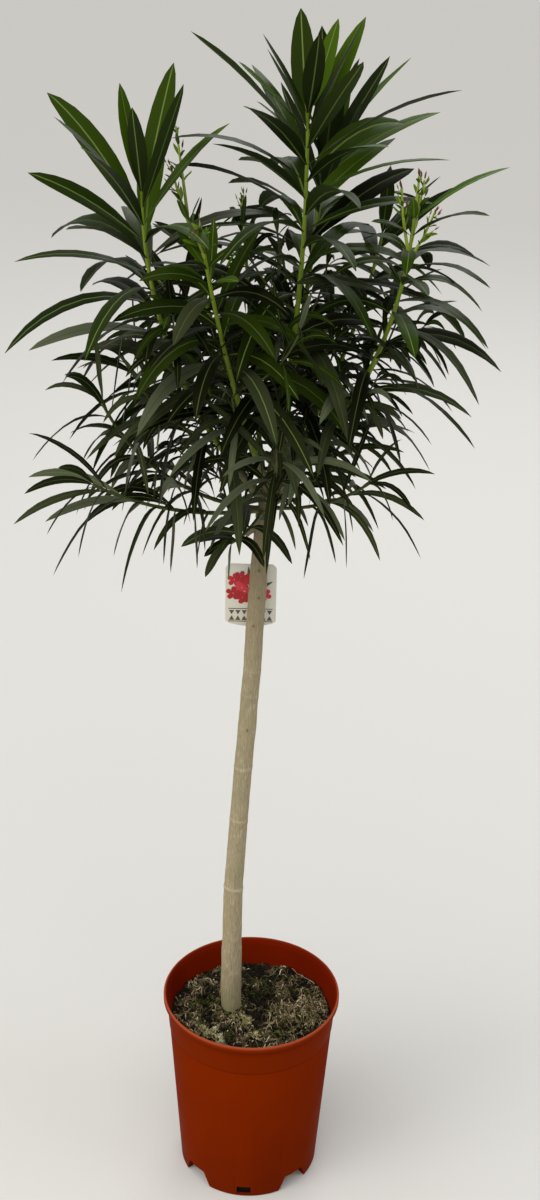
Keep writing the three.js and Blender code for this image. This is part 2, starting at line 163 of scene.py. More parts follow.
def apply_place(piece):
    activate(piece)
    bpy.ops.object.transform_apply(location=True, rotation=True, scale=True)


def smooth_by_angle(piece, degrees):
    activate(piece)
    bpy.ops.object.shade_smooth_by_angle(angle=math.radians(degrees))


def hand_over(piece, nodes=()):
    """Puts a finished piece on the one body, and hides what it stands for."""
    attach(piece, "root")
    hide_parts(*nodes)
    piece.data.calc_loop_triangles()
    print(piece.name, "has", len(piece.data.loop_triangles), "triangles")
    return piece


def nodes_like(prefix):
    return sorted(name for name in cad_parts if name.startswith(prefix))


def lerp(low, high, share):
    return low + (high - low) * share


def smooth(value, low, high):
    share = min(1, max(0, (value - low) / (high - low)))
    return share * share * (3 - 2 * share)


print("helpers are ready; the frame holds", len(nodes_like("bough_")), "boughs")

# %% [markdown]
# ## Helpers for materials
# Most finishes here need the same thing: patches of a second colour at some scale, with soft or hard
# edges. That is one node group, "patches", used by plastic, soil, bark and card alike. Whatever is the
# same all over a surface is set on the shader itself.

# %% The patches group
def make_patches_group():
    group = bpy.data.node_groups.new("patches", "ShaderNodeTree")
    for name, kind, default in [
        ("Vector", "NodeSocketVector", None),
        ("Scale", "NodeSocketFloat", 50.0),
        ("Detail", "NodeSocketFloat", 3.0),
        ("Low", "NodeSocketFloat", 0.4),
        ("High", "NodeSocketFloat", 0.6),
    ]:
        socket = group.interface.new_socket(name, in_out="INPUT", socket_type=kind)
        if default is not None:
            socket.default_value = default
    group.interface.new_socket("Mask", in_out="OUTPUT", socket_type="NodeSocketFloat")
    nodes, links = group.nodes, group.links
    entry = nodes.new("NodeGroupInput")
    cloud = nodes.new("ShaderNodeTexNoise")
    edge = nodes.new("ShaderNodeMapRange")
    leave = nodes.new("NodeGroupOutput")
    for socket in ("Vector", "Scale", "Detail"):
        links.new(entry.outputs[socket], cloud.inputs[socket])
    links.new(cloud.outputs["Fac"], edge.inputs["Value"])
    links.new(entry.outputs["Low"], edge.inputs["From Min"])
    links.new(entry.outputs["High"], edge.inputs["From Max"])
    links.new(edge.outputs["Result"], leave.inputs["Mask"])
    return group


patches = make_patches_group()
print("group", patches.name, "takes", [s.name for s in patches.interface.items_tree])


# %% Materials from plain words
def shader_of(material):
    return material.node_tree.nodes["Principled BSDF"]


def plain_finish(name, colour, roughness, **sockets):
    """One colour and one gloss, on the shader's own sockets."""
    material = bpy.data.materials.new(name)
    material.use_nodes = True
    shader = shader_of(material)
    shader.inputs["Base Color"].default_value = (*colour, 1)
    shader.inputs["Roughness"].default_value = roughness
    for socket, value in sockets.items():
        shader.inputs[socket.replace("_", " ")].default_value = value
    return material


class Finish:
    """A material whose colour is laid on in coats, each through its own mask."""

    def __init__(self, name, colour, roughness, **sockets):
        self.material = plain_finish(name, colour, roughness, **sockets)
        self.nodes = self.material.node_tree.nodes
        self.links = self.material.node_tree.links
        self.place = self.nodes.new("ShaderNodeTexCoord").outputs["Object"]
        self.colour = (*colour, 1)

    def feed(self, node, **inputs):
        """Sets a node's inputs, each to a value or to another node's output."""
        for name, value in inputs.items():
            socket = node.inputs[name.replace("_", " ")]
            if isinstance(value, bpy.types.NodeSocket):
                self.links.new(value, socket)
            else:
                socket.default_value = value

    def node(self, kind, **inputs):
        made = self.nodes.new("ShaderNode" + kind)
        self.feed(made, **inputs)
        return made

    def mask(self, scale, low, high, stretch=(1, 1, 1), detail=3.0, offset=(0, 0, 0)):
        """Patches of noise: 1 where it is above high, and 0 where it is below low."""
        spread = self.node("Mapping", Vector=self.place, Scale=stretch, Location=offset)
        group = self.node("Group")
        group.node_tree = patches
        self.feed(group, Vector=spread.outputs["Vector"], Scale=scale, Detail=detail, Low=low, High=high)
        return group.outputs["Mask"]

    def ramp(self, length, low, high):
        """Rises from 0 to 1 while a length in metres goes from low to high, in millimetres."""
        made = self.node("MapRange", Value=length, From_Min=low * MM, From_Max=high * MM)
        return made.outputs["Result"]

    def height_mask(self, low, high):
        """Rises from 0 to 1 between two heights in millimetres."""
        split = self.node("SeparateXYZ", Vector=self.place)
        return self.ramp(split.outputs["Z"], low, high)

    def band_mask(self, rise, fall):
        """Rises between the first two heights and falls between the others."""
        return self.times(self.height_mask(*rise), self.height_mask(*fall))

    def reach_mask(self, low, high):
        """Rises from 0 to 1 between two distances from the upright axis, in millimetres."""
        level = self.node("VectorMath")
        level.operation = "MULTIPLY"
        level.inputs[1].default_value = (1, 1, 0)
        self.links.new(self.place, level.inputs[0])
        reach = self.node("VectorMath")
        reach.operation = "LENGTH"
        self.links.new(level.outputs["Vector"], reach.inputs[0])
        return self.ramp(reach.outputs["Value"], low, high)

    def attribute_mask(self, name):
        """The value of an attribute of the mesh."""
        read = self.node("Attribute")
        read.attribute_name = name
        return read.outputs["Fac"]

    def times(self, mask, other):
        """The product of a mask with another mask or with a number."""
        product = self.node("Math")
        product.operation = "MULTIPLY"
        self.links.new(mask, product.inputs[0])
        if isinstance(other, (int, float)):
            product.inputs[1].default_value = other
        else:
            self.links.new(other, product.inputs[1])
        return product.outputs["Value"]

    def coat(self, colour, mask, share):
        """Lays a colour over what is there, as thick as a share of the mask."""
        mix = self.node("Mix")
        mix.data_type = "RGBA"
        self.feed(mix, A=self.colour, B=(*colour, 1), Factor=self.times(mask, share))
        self.colour = mix.outputs["Result"]
        self.feed(shader_of(self.material), Base_Color=self.colour)

    def vary_roughness(self, mask, low, high):
        ramp = self.node("MapRange", Value=mask, To_Min=low, To_Max=high)
        self.feed(shader_of(self.material), Roughness=ramp.outputs["Result"])

    def bump(self, mask, strength, depth):
        """Relief of a depth in millimetres from a mask."""
        relief = self.node("Bump", Strength=strength, Distance=depth * MM, Height=mask)
        self.feed(shader_of(self.material), Normal=relief.outputs["Normal"])


print("finishes are laid on in coats")

# %% [markdown]
# ## Floor
# The floor is only a stage. It is wide, and lies mostly behind the plant, because the camera sees far
# across it.

# %% Floor
FLOOR = {"size": 40, "middle": (0, 8, 0), "colour": (0.62, 0.61, 0.59), "roughness": 0.85}
clear_selection()
bpy.ops.mesh.primitive_plane_add(size=FLOOR["size"], location=FLOOR["middle"])
floor = bpy.context.object
floor.name = "floor"
floor.data.materials.append(plain_finish("pale_floor", FLOOR["colour"], FLOOR["roughness"]))
print("the floor lies at height", floor.location.z)

# %% [markdown]
# ## The pot
# A nursery pot is one moulded shell of thin plastic. Its wall is turned: one vertex is extruded along
# the outline and the outline is spun round the axis. The hollow is spun the same way and cut out. The
# wall's foot is pressed in at four corners, so the same wedge is cut from the outside and, a wall's
# thickness larger, spared from the hollow.

# %% Sizes of the pot
POT = {
    "height": 248, "rim": 105, "foot": 83.4, "wall": 2.2, "taper": 0.0694, "lip_height": 7.5,
    "collar_height": 204, "collar_step": 0.8, "sides": 144,
}
NOTCH = {"height": 21, "depth": 24, "foot_angle": 31, "top_angle": 18, "turn": -3}
DRAIN = {"width": 17, "low": 2.5, "high": 15.5, "walls_deep": 1.5, "rounding": 1.2}
NOTCH_ROUNDING = 2.6
BEYOND = 10  # how far a cutter stands out past what it cuts


def wall_radius(height):
    return POT["foot"] + POT["taper"] * height


print("the pot is", POT["height"], "mm tall and", 2 * POT["rim"], "mm wide")


# %% Spun solids and cutters
def spun(name, outline, sides):
    """A closed solid of revolution about the vertical axis, from (radius, height) pairs."""
    clear_selection()
    bpy.ops.mesh.primitive_plane_add(size=0.01, location=(outline[0][0] * MM, 0, outline[0][1] * MM))
    piece = bpy.context.object
    piece.name = name
    apply_place(piece)
    with editing():
        bpy.ops.mesh.merge(type="CENTER")
        for (radius, height), (next_radius, next_height) in zip(outline, outline[1:]):
            step = ((next_radius - radius) * MM, 0, (next_height - height) * MM)
            bpy.ops.mesh.extrude_region_move(TRANSFORM_OT_translate={"value": step})
        bpy.ops.mesh.select_all(action="SELECT")
        bpy.ops.mesh.spin(steps=sides, angle=math.tau, center=(0, 0, 0), axis=(0, 0, 1))
        bpy.ops.mesh.select_all(action="SELECT")
        bpy.ops.mesh.remove_doubles(threshold=1e-6)
        bpy.ops.mesh.normals_make_consistent(inside=False)
    return piece


def block(name, corners, rounding, turn):
    """A block with eight given corners and rounded edges, turned about the vertical axis."""
    clear_selection()
    bpy.ops.mesh.primitive_cube_add(size=2)
    piece = bpy.context.object
    piece.name = name
    for vertex in piece.data.vertices:
        vertex.co = Vector(corners(*(1 if c > 0 else -1 for c in vertex.co))) * MM
    with editing():
        bpy.ops.mesh.bevel(offset=rounding * MM, segments=4, affect="EDGES")
    piece.rotation_euler.z = math.radians(turn)
    apply_place(piece)
    return piece


def corner_wedge(grow, turn):
    """A wedge that is wide at the foot and narrow at its top, grown all round by a wall's thickness."""
    inner = wall_radius(0) - NOTCH["depth"] - grow
    half = {}
    for side, angle in ((-1, NOTCH["foot_angle"]), (1, NOTCH["top_angle"])):
        half[side] = wall_radius(0) * math.tan(math.radians(angle / 2)) + grow

    def corners(x, y, z):
        height = NOTCH["height"] + grow if z > 0 else -BEYOND / 2 - grow
        return (x * half[z], -inner if y > 0 else -POT["rim"] - BEYOND, height)

    return block("corner", corners, NOTCH_ROUNDING + grow, turn)


def drain_hole(turn):
    """A block through the wall, just above the pot's floor."""
    def corners(x, y, z):
        height = DRAIN["high"] if z > 0 else DRAIN["low"]
        return (x * DRAIN["width"] / 2, -wall_radius(0) + y * DRAIN["walls_deep"] * POT["wall"], height)

    return block("drain", corners, DRAIN["rounding"], turn)


def carve(piece, cutters, operation="DIFFERENCE"):
    """Cuts shapes out of a piece one by one, or keeps what it shares with them."""
    for cutter in cutters:
        cut = piece.modifiers.new("cut", "BOOLEAN")
        cut.operation = operation
        cut.object = cutter
        cut.solver = "EXACT"
        apply_modifiers(piece)
        bpy.data.objects.remove(cutter)
    return piece


def corner_wedges(grow):
    return [corner_wedge(grow, quarter + NOTCH["turn"]) for quarter in (45, 135, 225, 315)]


print("corner wedges are", NOTCH["height"], "mm high")


# %% The pot's shell
def pot_hollow(name, shrink, top):
    """The room inside the wall up to a height, smaller all round by a gap."""
    def inside(height):
        return wall_radius(height) - POT["wall"] - shrink

    low = POT["wall"] + shrink
    foot = [(0, low), (inside(low) - 2, low), (inside(low + 2), low + 2)]
    outline = foot + [(inside(top), top), (0, top)]
    return carve(spun(name, outline, POT["sides"]), corner_wedges(POT["wall"] + shrink))


FLARE_FOOT = 213  # above this height the inner wall opens out to the rim
lip_foot = POT["height"] - POT["lip_height"]
collar = POT["collar_height"]
step = POT["collar_step"]
outside = [  # out along the underside, up the wall, over the lip, and down the flare inside
    (0, 0.8),
    (wall_radius(0) - 9, 0.8),
    (wall_radius(0) - 7, 0),
    (wall_radius(0) - 1.5, 0),
    (wall_radius(0) - 0.4, 0.6),
    (wall_radius(2), 2),
    (wall_radius(collar), collar - 1.4),
    (wall_radius(collar) - 0.4, collar - 0.5),
    (wall_radius(collar) - 0.3, collar + 0.1),
    (wall_radius(collar) + step - 0.2, collar + 0.7),
    (wall_radius(collar) + step, collar + 1.6),
    (wall_radius(lip_foot) + step, lip_foot),
    (POT["rim"] - 1, lip_foot),
    (POT["rim"] - 0.3, lip_foot + 0.3),
    (POT["rim"], lip_foot + 1),
    (POT["rim"], POT["height"] - 1.6),
    (POT["rim"] - 0.5, POT["height"] - 0.5),
    (POT["rim"] - 1.6, POT["height"]),
    (POT["rim"] - 2.0, POT["height"]),
    (POT["rim"] - 2.6, POT["height"] - 0.5),
    (POT["rim"] - 3.1, POT["height"] - 1.8),
    (POT["rim"] - 4, POT["height"] - 4),
    (wall_radius(lip_foot) - 0.7, lip_foot - 1),
    (wall_radius(FLARE_FOOT + 16) - 1.6, FLARE_FOOT + 16),
    (wall_radius(FLARE_FOOT) - POT["wall"] + 0.1, FLARE_FOOT),
    (0, FLARE_FOOT),
]
pot = carve(spun("pot_shell", outside, POT["sides"]), corner_wedges(0))
carve(pot, [pot_hollow("hollow", 0, FLARE_FOOT + 1)])
carve(pot, [drain_hole(quarter + NOTCH["turn"]) for quarter in (0, 90, 180, 270)])
smooth_by_angle(pot, 32)
print("the pot's shell has", len(pot.data.polygons), "faces")

# %% [markdown]
# ### The pot's plastic
# The plastic is a warm brick brown with a soft gloss, a little paler towards the top. Along the rim's
# top edge a painted highlight makes it palest. It is darker at the foot, and the groove under the collar
# and the band under the lip are painted darker as shade. Faint clouds come from the moulding, and
# upright scratches are a fine relief. The inner wall is painted a deeper, darker red as shade, because
# it sees less light, so its faces are marked by an attribute: they face the pot's axis.

# %% Pot plastic
GROOVE_SHADE = ((collar - 1.2, collar - 0.3), (collar + 1.4, collar + 0.3))
UNDER_LIP_SHADE = ((lip_foot - 11.5, lip_foot - 0.5), (lip_foot + 1, lip_foot))
RIM_HIGHLIGHT_REACH = (POT["rim"] - 3.6, POT["rim"] - 2.4)
RIM_HIGHLIGHT_HEIGHT = (POT["height"] - 3.5, POT["height"] - 0.4)
plastic = Finish("brick_plastic", (0.16, 0.0138, 0.0001), 0.5, Specular_IOR_Level=0.005)
plastic.coat((0.1, 0.0085, 0.0002), plastic.mask(7, 0.4, 0.7), 0.35)
plastic.coat((0.178, 0.017, 0.0002), plastic.height_mask(130, 250), 0.5)
# Painted shade in the groove under the collar.
plastic.coat((0.05, 0.004, 0.0002), plastic.band_mask(*GROOVE_SHADE), 0.4)
# Painted shade in the band under the overhanging lip.
plastic.coat((0.09, 0.0075, 0.0002), plastic.band_mask(*UNDER_LIP_SHADE), 0.5)
# Painted highlight: the rim's top edge is painted palest, where the light catches it.
rim_highlight = plastic.times(plastic.reach_mask(*RIM_HIGHLIGHT_REACH), plastic.height_mask(*RIM_HIGHLIGHT_HEIGHT))
plastic.coat((0.34, 0.068, 0.03), rim_highlight, 0.85)
plastic.coat((0.07, 0.006, 0.0002), plastic.height_mask(3, 0), 0.6)
plastic.vary_roughness(plastic.mask(26, 0.3, 0.7, detail=6), 0.42, 0.56)
plastic.bump(plastic.mask(420, 0.3, 0.7, stretch=(1, 1, 0.3)), 0.2, 0.1)
faces_axis = [float(face.normal.xy.dot(face.center.xy) < -1e-4) for face in pot.data.polygons]
pot.data.attributes.new("inner", "FLOAT", "FACE").data.foreach_set("value", faces_axis)
# Painted shade: the inner wall's faces are painted a darker, deeper red.
plastic.coat((0.14, 0.0075, 0.0006), plastic.attribute_mask("inner"), 0.7)
pot.data.materials.append(plastic.material)
hand_over(pot, ["pot"])

# %% [markdown]
# ## The soil
# The soil is a lumpy bed that fills the pot. A fine grid is pressed into a disc, raised by the same
# wave that shapes the solid, roughened, and extruded down to the pot's floor. What gives soil its
# look lies on top: crumbs, pale fibres and moss. Those are small things in great numbers, so each kind
# is made once and joined from arrays.

# %% Gathering many small shapes
class Heap:
    """Small closed shapes gathered as arrays, and joined into one mesh at the end."""

    def __init__(self):
        self.points, self.faces, self.slots, self.count = [], [], [], 0

    def add(self, points, faces, slots):
        self.points.append(np.asarray(points, float))
        self.faces.extend([[i + self.count for i in face] for face in faces])
        self.slots.extend([slots] * len(faces) if isinstance(slots, int) else slots)
        self.count += len(points)

    def piece(self, name, finishes):
        mesh = bpy.data.meshes.new(name)
        mesh.from_pydata(np.concatenate(self.points) * MM, [], self.faces)
        for finish in finishes:
            mesh.materials.append(finish)
        mesh.polygons.foreach_set("material_index", self.slots)
        mesh.update()
        made = bpy.data.objects.new(name, mesh)
        bpy.context.scene.collection.objects.link(made)
        return made


def tube(centres, across, upward, radii, sides):
    """The points and faces of a closed tube: rings round a centre line, and a point at each end.
    Radii are one number a ring, or one a ring and side."""
    centres = np.asarray(centres, float)
    rings = len(centres)
    angle = np.arange(sides) * math.tau / sides
    out, up = np.cos(angle)[None, :, None], np.sin(angle)[None, :, None]
    radii = np.asarray(radii, float)
    radii = np.repeat(radii[:, None], sides, 1) if radii.ndim == 1 else radii
    spokes = across[:, None] * out + upward[:, None] * up
    points = (centres[:, None] + spokes * radii[:, :, None]).reshape(-1, 3)
    points = np.concatenate([points, centres[:1], centres[-1:]])
    first, last = rings * sides, rings * sides + 1
    faces = []
    for ring in range(rings - 1):
        for side in range(sides):
            a, b = ring * sides + side, ring * sides + (side + 1) % sides
            faces.append((a, b, b + sides, a + sides))
    for side in range(sides):
        following = (side + 1) % sides
        faces.append((first, following, side))
        faces.append((last, (rings - 1) * sides + side, (rings - 1) * sides + following))
    return points, faces


def ring_frames(centres):
    """Two directions across a line of points, at each of them."""
    centres = np.asarray(centres, float)
    along = np.gradient(centres, axis=0)
    along /= np.linalg.norm(along, axis=1)[:, None]
    helper = np.where(np.abs(along[:, 2:3]) > 0.9, [[1.0, 0, 0]], [[0, 0, 1.0]])
    across = np.cross(helper, along)
    across /= np.linalg.norm(across, axis=1)[:, None]
    return across, np.cross(along, across)


print("heaps and tubes are ready")

# %% The soil's bed
SOIL = {"top": 213, "bump": 5, "mound": 7, "gap": 0.3, "cells": 110, "trim": 1.2, "depth": 300}
STEM_FOOT = (-24.3, 6)


def from_stem(x, y):
    return math.hypot(x - STEM_FOOT[0], y - STEM_FOOT[1])


def soil_noise(x, y, size, layer):
    """Smooth noise over the soil, in lumps of a size in millimetres."""
    return noise.noise(Vector((x / size, y / size, layer)))


def soil_height(x, y):
    """The wave that shapes the soil's solid, gentler by the wall, with a low mound round the stem."""
    wave = math.sin(x / 11 + 1) * math.cos(y / 9) + 0.6 * math.sin((x - y) / 6.5)
    clear = smooth(from_stem(x, y), 17, 34)
    mound = SOIL["mound"] * (1 - smooth(from_stem(x, y), 13, 36))
    edge = 1 - smooth(math.hypot(x, y), 70, 95)
    return SOIL["top"] + mound + SOIL["bump"] * (0.35 + 0.5 * wave) * clear * (0.4 + 0.6 * edge)


SOIL_SPOTS = [  # x, y, reach, and how pale: hollows of bare peat are below 0
    (8, 34, 16, -1.0), (10, 84, 22, -0.8), (7, -10, 9, -0.9), (-50, 16, 13, -0.7), (52, -36, 12, -0.5),
    (-8, 62, 12, -0.5), (62, 12, 26, 0.6), (34, 0, 13, 0.3), (-66, 44, 18, 0.3), (0, -46, 14, 0.3),
]


def soil_pale(x, y):
    """How much of the felt of pale fibres lies here, from 0 for bare dark peat to 1."""
    felt = soil_noise(x, y, 15, 5) + 0.5 * soil_noise(x, y, 5, 6)
    for spot_x, spot_y, reach, amount in SOIL_SPOTS:
        felt += amount * math.exp(-((x - spot_x) ** 2 + (y - spot_y) ** 2) / reach**2)
    return smooth(felt, -0.3, 0.45)


def soil_surface(x, y):
    """The soil's height with its clods and small lumps. Felted ground stands above bare peat."""
    clods = 5.0 * soil_noise(x, y, 12, 1) + 3.4 * soil_noise(x, y, 5, 3)
    small = 1.3 * soil_noise(x, y, 2.1, 8)
    clear = smooth(from_stem(x, y), 12, 30)
    edge = 1 - smooth(math.hypot(x, y), 72, 90)
    felt = 5 * (soil_pale(x, y) - 0.55) * clear * edge
    return soil_height(x, y) + clods * lerp(0.3, 1, clear) + small + felt


def make_soil_bed():
    clear_selection()
    cells = SOIL["cells"]
    bpy.ops.mesh.primitive_grid_add(x_subdivisions=cells, y_subdivisions=cells, size=2)
    bed = bpy.context.object
    bed.name = "soil_bed"
    reach = wall_radius(SOIL["top"]) - SOIL["trim"]
    for vertex in bed.data.vertices:
        x, y = vertex.co.x, vertex.co.y
        spread = max(abs(x), abs(y)) / max(1e-9, math.hypot(x, y))
        x, y = x * spread * reach, y * spread * reach
        vertex.co = Vector((x, y, soil_surface(x, y))) * MM
    with editing():
        bpy.ops.mesh.extrude_region_move(TRANSFORM_OT_translate={"value": (0, 0, -SOIL["depth"] * MM)})
        bpy.ops.mesh.select_all(action="SELECT")
        bpy.ops.mesh.normals_make_consistent(inside=False)
    return carve(bed, [pot_hollow("room", SOIL["gap"], SOIL["top"] + 20)], "INTERSECT")


soil_bed = make_soil_bed()
smooth_by_angle(soil_bed, 60)
print("the soil's bed has", len(soil_bed.data.polygons), "faces")

# %% [markdown]
# ### What lies on the soil
# Crumbs are rough little stones of peat, from an icosphere whose corners are pushed about. Fibres are
# short, thin tubes of straw and coir that hump off the ground. Moss grows in pads, as tufts of short
# blades. Each grain gets one plain colour, dealt out by a seeded draw, so the joined piece keeps its
# colours wherever it goes.

# %% Crumbs of peat
def primitive_arrays(add, **sizes):
    """The points and faces of a primitive, which is then removed."""
    clear_selection()
    add(**sizes)
    made = bpy.context.object
    points = np.array([v.co for v in made.data.vertices])
    faces = [tuple(p.vertices) for p in made.data.polygons]
    bpy.data.objects.remove(made)
    return points, faces


SOIL_REACH = wall_radius(SOIL["top"]) - POT["wall"] - 2.0
CRUMBS = {
    "seed": 41, "count": 3200, "fine": (0.7, 1.5), "coarse": (1.6, 3.2), "fine_share": 0.8, "lift": 0.35,
}
DULL = {"Specular_IOR_Level": 0.12}
stone_points, stone_faces = primitive_arrays(bpy.ops.mesh.primitive_ico_sphere_add, subdivisions=1)


def soil_spot(draw, reach=SOIL_REACH):
    """An even draw over the round bed, outside the stem."""
    while True:
        x, y = draw.uniform(-reach, reach, 2)
        if math.hypot(x, y) < reach and from_stem(x, y) > 13.5:
            return x, y


def fine_or_coarse(draw, sizes):
    """A size from one of two ranges: most are fine."""
    fine = draw.random() < sizes["fine_share"]
    return draw.uniform(*sizes["fine" if fine else "coarse"])


def rough_stone(draw, low, high, size):
    return stone_points * draw.uniform(low, high, (len(stone_points), 1)) * size


def make_crumbs():
    draw = np.random.default_rng(CRUMBS["seed"])
    heap = Heap()
    for _ in range(CRUMBS["count"]):
        x, y = soil_spot(draw)
        size = fine_or_coarse(draw, CRUMBS)
        shape = rough_stone(draw, 0.55, 1.25, size) * draw.uniform(0.6, 1.1, 3)
        place = (x, y, soil_surface(x, y) + CRUMBS["lift"] * size)
        slot = min(3, int(draw.uniform(0, 1.6) + 2.4 * soil_pale(x, y)))
        heap.add(shape + place, stone_faces, slot)
    return heap.piece("soil_crumbs", [
        plain_finish("peat_black", (0.0045, 0.0035, 0.0025), 0.95, **DULL),
        plain_finish("peat_dark", (0.012, 0.008, 0.005), 0.95, **DULL),
        plain_finish("peat_brown", (0.034, 0.022, 0.012), 0.95, **DULL),
        plain_finish("peat_grey", (0.085, 0.062, 0.038), 0.95, **DULL),
    ])


hand_over(make_crumbs())

# %% Fibres of straw and coir
FIBRES = {
    "seed": 43, "count": 5600, "points": (4, 7), "stride": (0.9, 2.5), "lift": (0.3, 3.0),
    "bend": 0.16, "wander": 0.26, "fine": (0.2, 0.42), "coarse": (0.5, 0.85), "fine_share": 0.76,
}


def fibre_line(draw, x, y, steps, stride, lift):
    """A line that wanders over the soil, humps a little way off it, and turns back from the wall."""
    heading, bend = draw.uniform(0, math.tau), draw.uniform(-FIBRES["bend"], FIBRES["bend"])
    points = []
    for i in range(steps):
        hump = lift * math.sin(math.pi * i / (steps - 1))
        points.append((x, y, soil_surface(x, y) + 0.5 + hump))
        heading += bend + draw.uniform(-FIBRES["wander"], FIBRES["wander"])
        x, y = x + stride * math.cos(heading), y + stride * math.sin(heading)
        if math.hypot(x, y) > SOIL_REACH:
            x, y = points[-1][:2]
            heading += math.pi / 2
    return np.array(points)


def make_fibres():
    draw = np.random.default_rng(FIBRES["seed"])
    heap = Heap()
    for _ in range(FIBRES["count"]):
        x, y = soil_spot(draw)
        pale = soil_pale(x, y)
        if draw.random() > 0.1 + 0.9 * pale:
            continue
        steps = int(draw.integers(*FIBRES["points"]))
        stride, lift = draw.uniform(*FIBRES["stride"]), draw.uniform(*FIBRES["lift"])
        line = fibre_line(draw, x, y, steps, stride, lift)
        line += draw.uniform(-0.05, 0.05, line.shape)
        thick = fine_or_coarse(draw, FIBRES)
        radii = thick * np.sin(np.linspace(0.35, math.pi - 0.35, steps))
        points, faces = tube(line, *ring_frames(line), radii, 3)
        slot = min(4, int(draw.uniform(0, 2.4) + 2.7 * pale * draw.random()))
        heap.add(points, faces, slot)
    return heap.piece("soil_fibres", [
        plain_finish("fibre_brown", (0.05, 0.033, 0.018), 0.85, **DULL),
        plain_finish("fibre_olive", (0.085, 0.088, 0.026), 0.8, **DULL),
        plain_finish("fibre_tan", (0.2, 0.145, 0.08), 0.8, **DULL),
        plain_finish("fibre_straw", (0.43, 0.34, 0.2), 0.8, **DULL),
        plain_finish("fibre_pale", (0.64, 0.56, 0.39), 0.75, **DULL),
    ])


hand_over(make_fibres())

# %% Pads of moss and pale lumps
MOSS = {"seed": 47, "height": (1.2, 2.6), "blades": 7, "from_stem": 12.8}
MOSS_PADS = [  # x, y, reach, pairs of tufts, first finish
    (6, 46, 16, 130, 0), (-54, 16, 18, 110, 0), (-36, -9, 7, 60, 0), (38, -30, 16, 60, 1),
    (38, 6, 14, 60, 0), (-47, -36, 8, 120, 3), (-36, -48, 6, 110, 3), (-58, -30, 5, 60, 2),
    (-8, -17, 8, 130, 2), (-28, -44, 8, 70, 0), (-44, -42, 12, 60, 0), (-52, -40, 9, 60, 2),
    (60, -14, 16, 50, 1), (6, -46, 10, 40, 2), (-9, 8, 6, 40, 0), (-24, -12, 7, 50, 1),
    (-62, -22, 12, 60, 0),
]


def tuft(draw, x, y, height, blades):
    """A few pointed blades that lean away from one root."""
    points, faces = [], []
    ground = soil_surface(x, y)
    for blade in range(blades):
        heading = draw.uniform(0, math.tau)
        lean = draw.uniform(0.2, 1.0)
        out = np.array([math.cos(heading), math.sin(heading), 0.0])
        side = np.array([-out[1], out[0], 0.0]) * draw.uniform(0.18, 0.4)
        root = np.array([x, y, ground]) + out * draw.uniform(0, 0.8)
        tip = root + out * height * lean + np.array([0, 0, height * draw.uniform(0.7, 1.3)])
        first = len(points)
        points += [root + side, root - side, root - out * 0.3, tip]
        faces += [(first, first + 2, first + 1), (first, first + 1, first + 3),
                  (first + 1, first + 2, first + 3), (first + 2, first, first + 3)]
    return points, faces


def make_moss():
    draw = np.random.default_rng(MOSS["seed"])
    heap = Heap()
    for pad_x, pad_y, reach, pairs, first in MOSS_PADS:
        for _ in range(2 * pairs):
            x, y = draw.normal((pad_x, pad_y), reach / 2)
            if math.hypot(x, y) > SOIL_REACH or from_stem(x, y) < MOSS["from_stem"]:
                continue
            points, faces = tuft(draw, x, y, draw.uniform(*MOSS["height"]), MOSS["blades"])
            heap.add(points, faces, first + int(draw.integers(0, 2)))
    return heap.piece("soil_moss", [
        plain_finish("moss_deep", (0.03, 0.045, 0.007), 0.85, **DULL),
        plain_finish("moss_olive", (0.075, 0.085, 0.015), 0.85, **DULL),
        plain_finish("moss_yellow", (0.3, 0.27, 0.12), 0.85, **DULL),
        plain_finish("moss_pale", (0.7, 0.64, 0.34), 0.85, **DULL),
        plain_finish("moss_white", (0.88, 0.84, 0.64), 0.85, **DULL),
    ])


hand_over(make_moss())


# %% Pale grit and one rootlet by the wall
GRIT = {"seed": 53, "count": 70, "size": (0.5, 1.2)}
ROOTLET = {"turns": (34, 58), "points": 15, "radius": 0.32, "lift": 2.6}


def make_grit():
    draw = np.random.default_rng(GRIT["seed"])
    heap = Heap()
    for _ in range(GRIT["count"]):
        x, y = soil_spot(draw, SOIL_REACH - 2)
        size = draw.uniform(*GRIT["size"])
        place = (x, y, soil_surface(x, y) + size)
        heap.add(rough_stone(draw, 0.7, 1.1, size) + place, stone_faces, int(draw.integers(0, 2)))
    turns = np.radians(np.linspace(*ROOTLET["turns"], ROOTLET["points"]))
    reach = SOIL_REACH - 0.6 - 1.2 * np.sin(np.linspace(0, 9, ROOTLET["points"])) ** 2
    line = np.stack([np.cos(turns) * reach, np.sin(turns) * reach, turns], 1)
    for point in line:
        point[2] = soil_surface(*point[:2]) + ROOTLET["lift"]
    points, faces = tube(line, *ring_frames(line), np.full(ROOTLET["points"], ROOTLET["radius"]), 6)
    heap.add(points, faces, 1)
    return heap.piece("soil_grit", [
        plain_finish("grit_white", (0.68, 0.62, 0.52), 0.7),
        plain_finish("grit_sand", (0.36, 0.3, 0.2), 0.8),
    ])


hand_over(make_grit())

# %% Peat between them
peat = Finish("peat", (0.01, 0.007, 0.0045), 0.95, **DULL)
peat.coat((0.004, 0.0035, 0.003), peat.mask(130, 0.45, 0.6), 1)
peat.coat((0.06, 0.048, 0.025), peat.mask(300, 0.56, 0.66), 0.8)
peat.coat((0.035, 0.036, 0.012), peat.mask(34, 0.52, 0.66), 0.5)
# Painted shade: below 30 mm the peat is painted near black, where it shows through the drain slots.
peat.coat((0.002, 0.0016, 0.0012), peat.height_mask(60, 30), 1)
peat.bump(peat.mask(420, 0.2, 0.8, detail=6), 0.8, 0.9)
soil_bed.data.materials.append(peat.material)
hand_over(soil_bed, ["soil"])

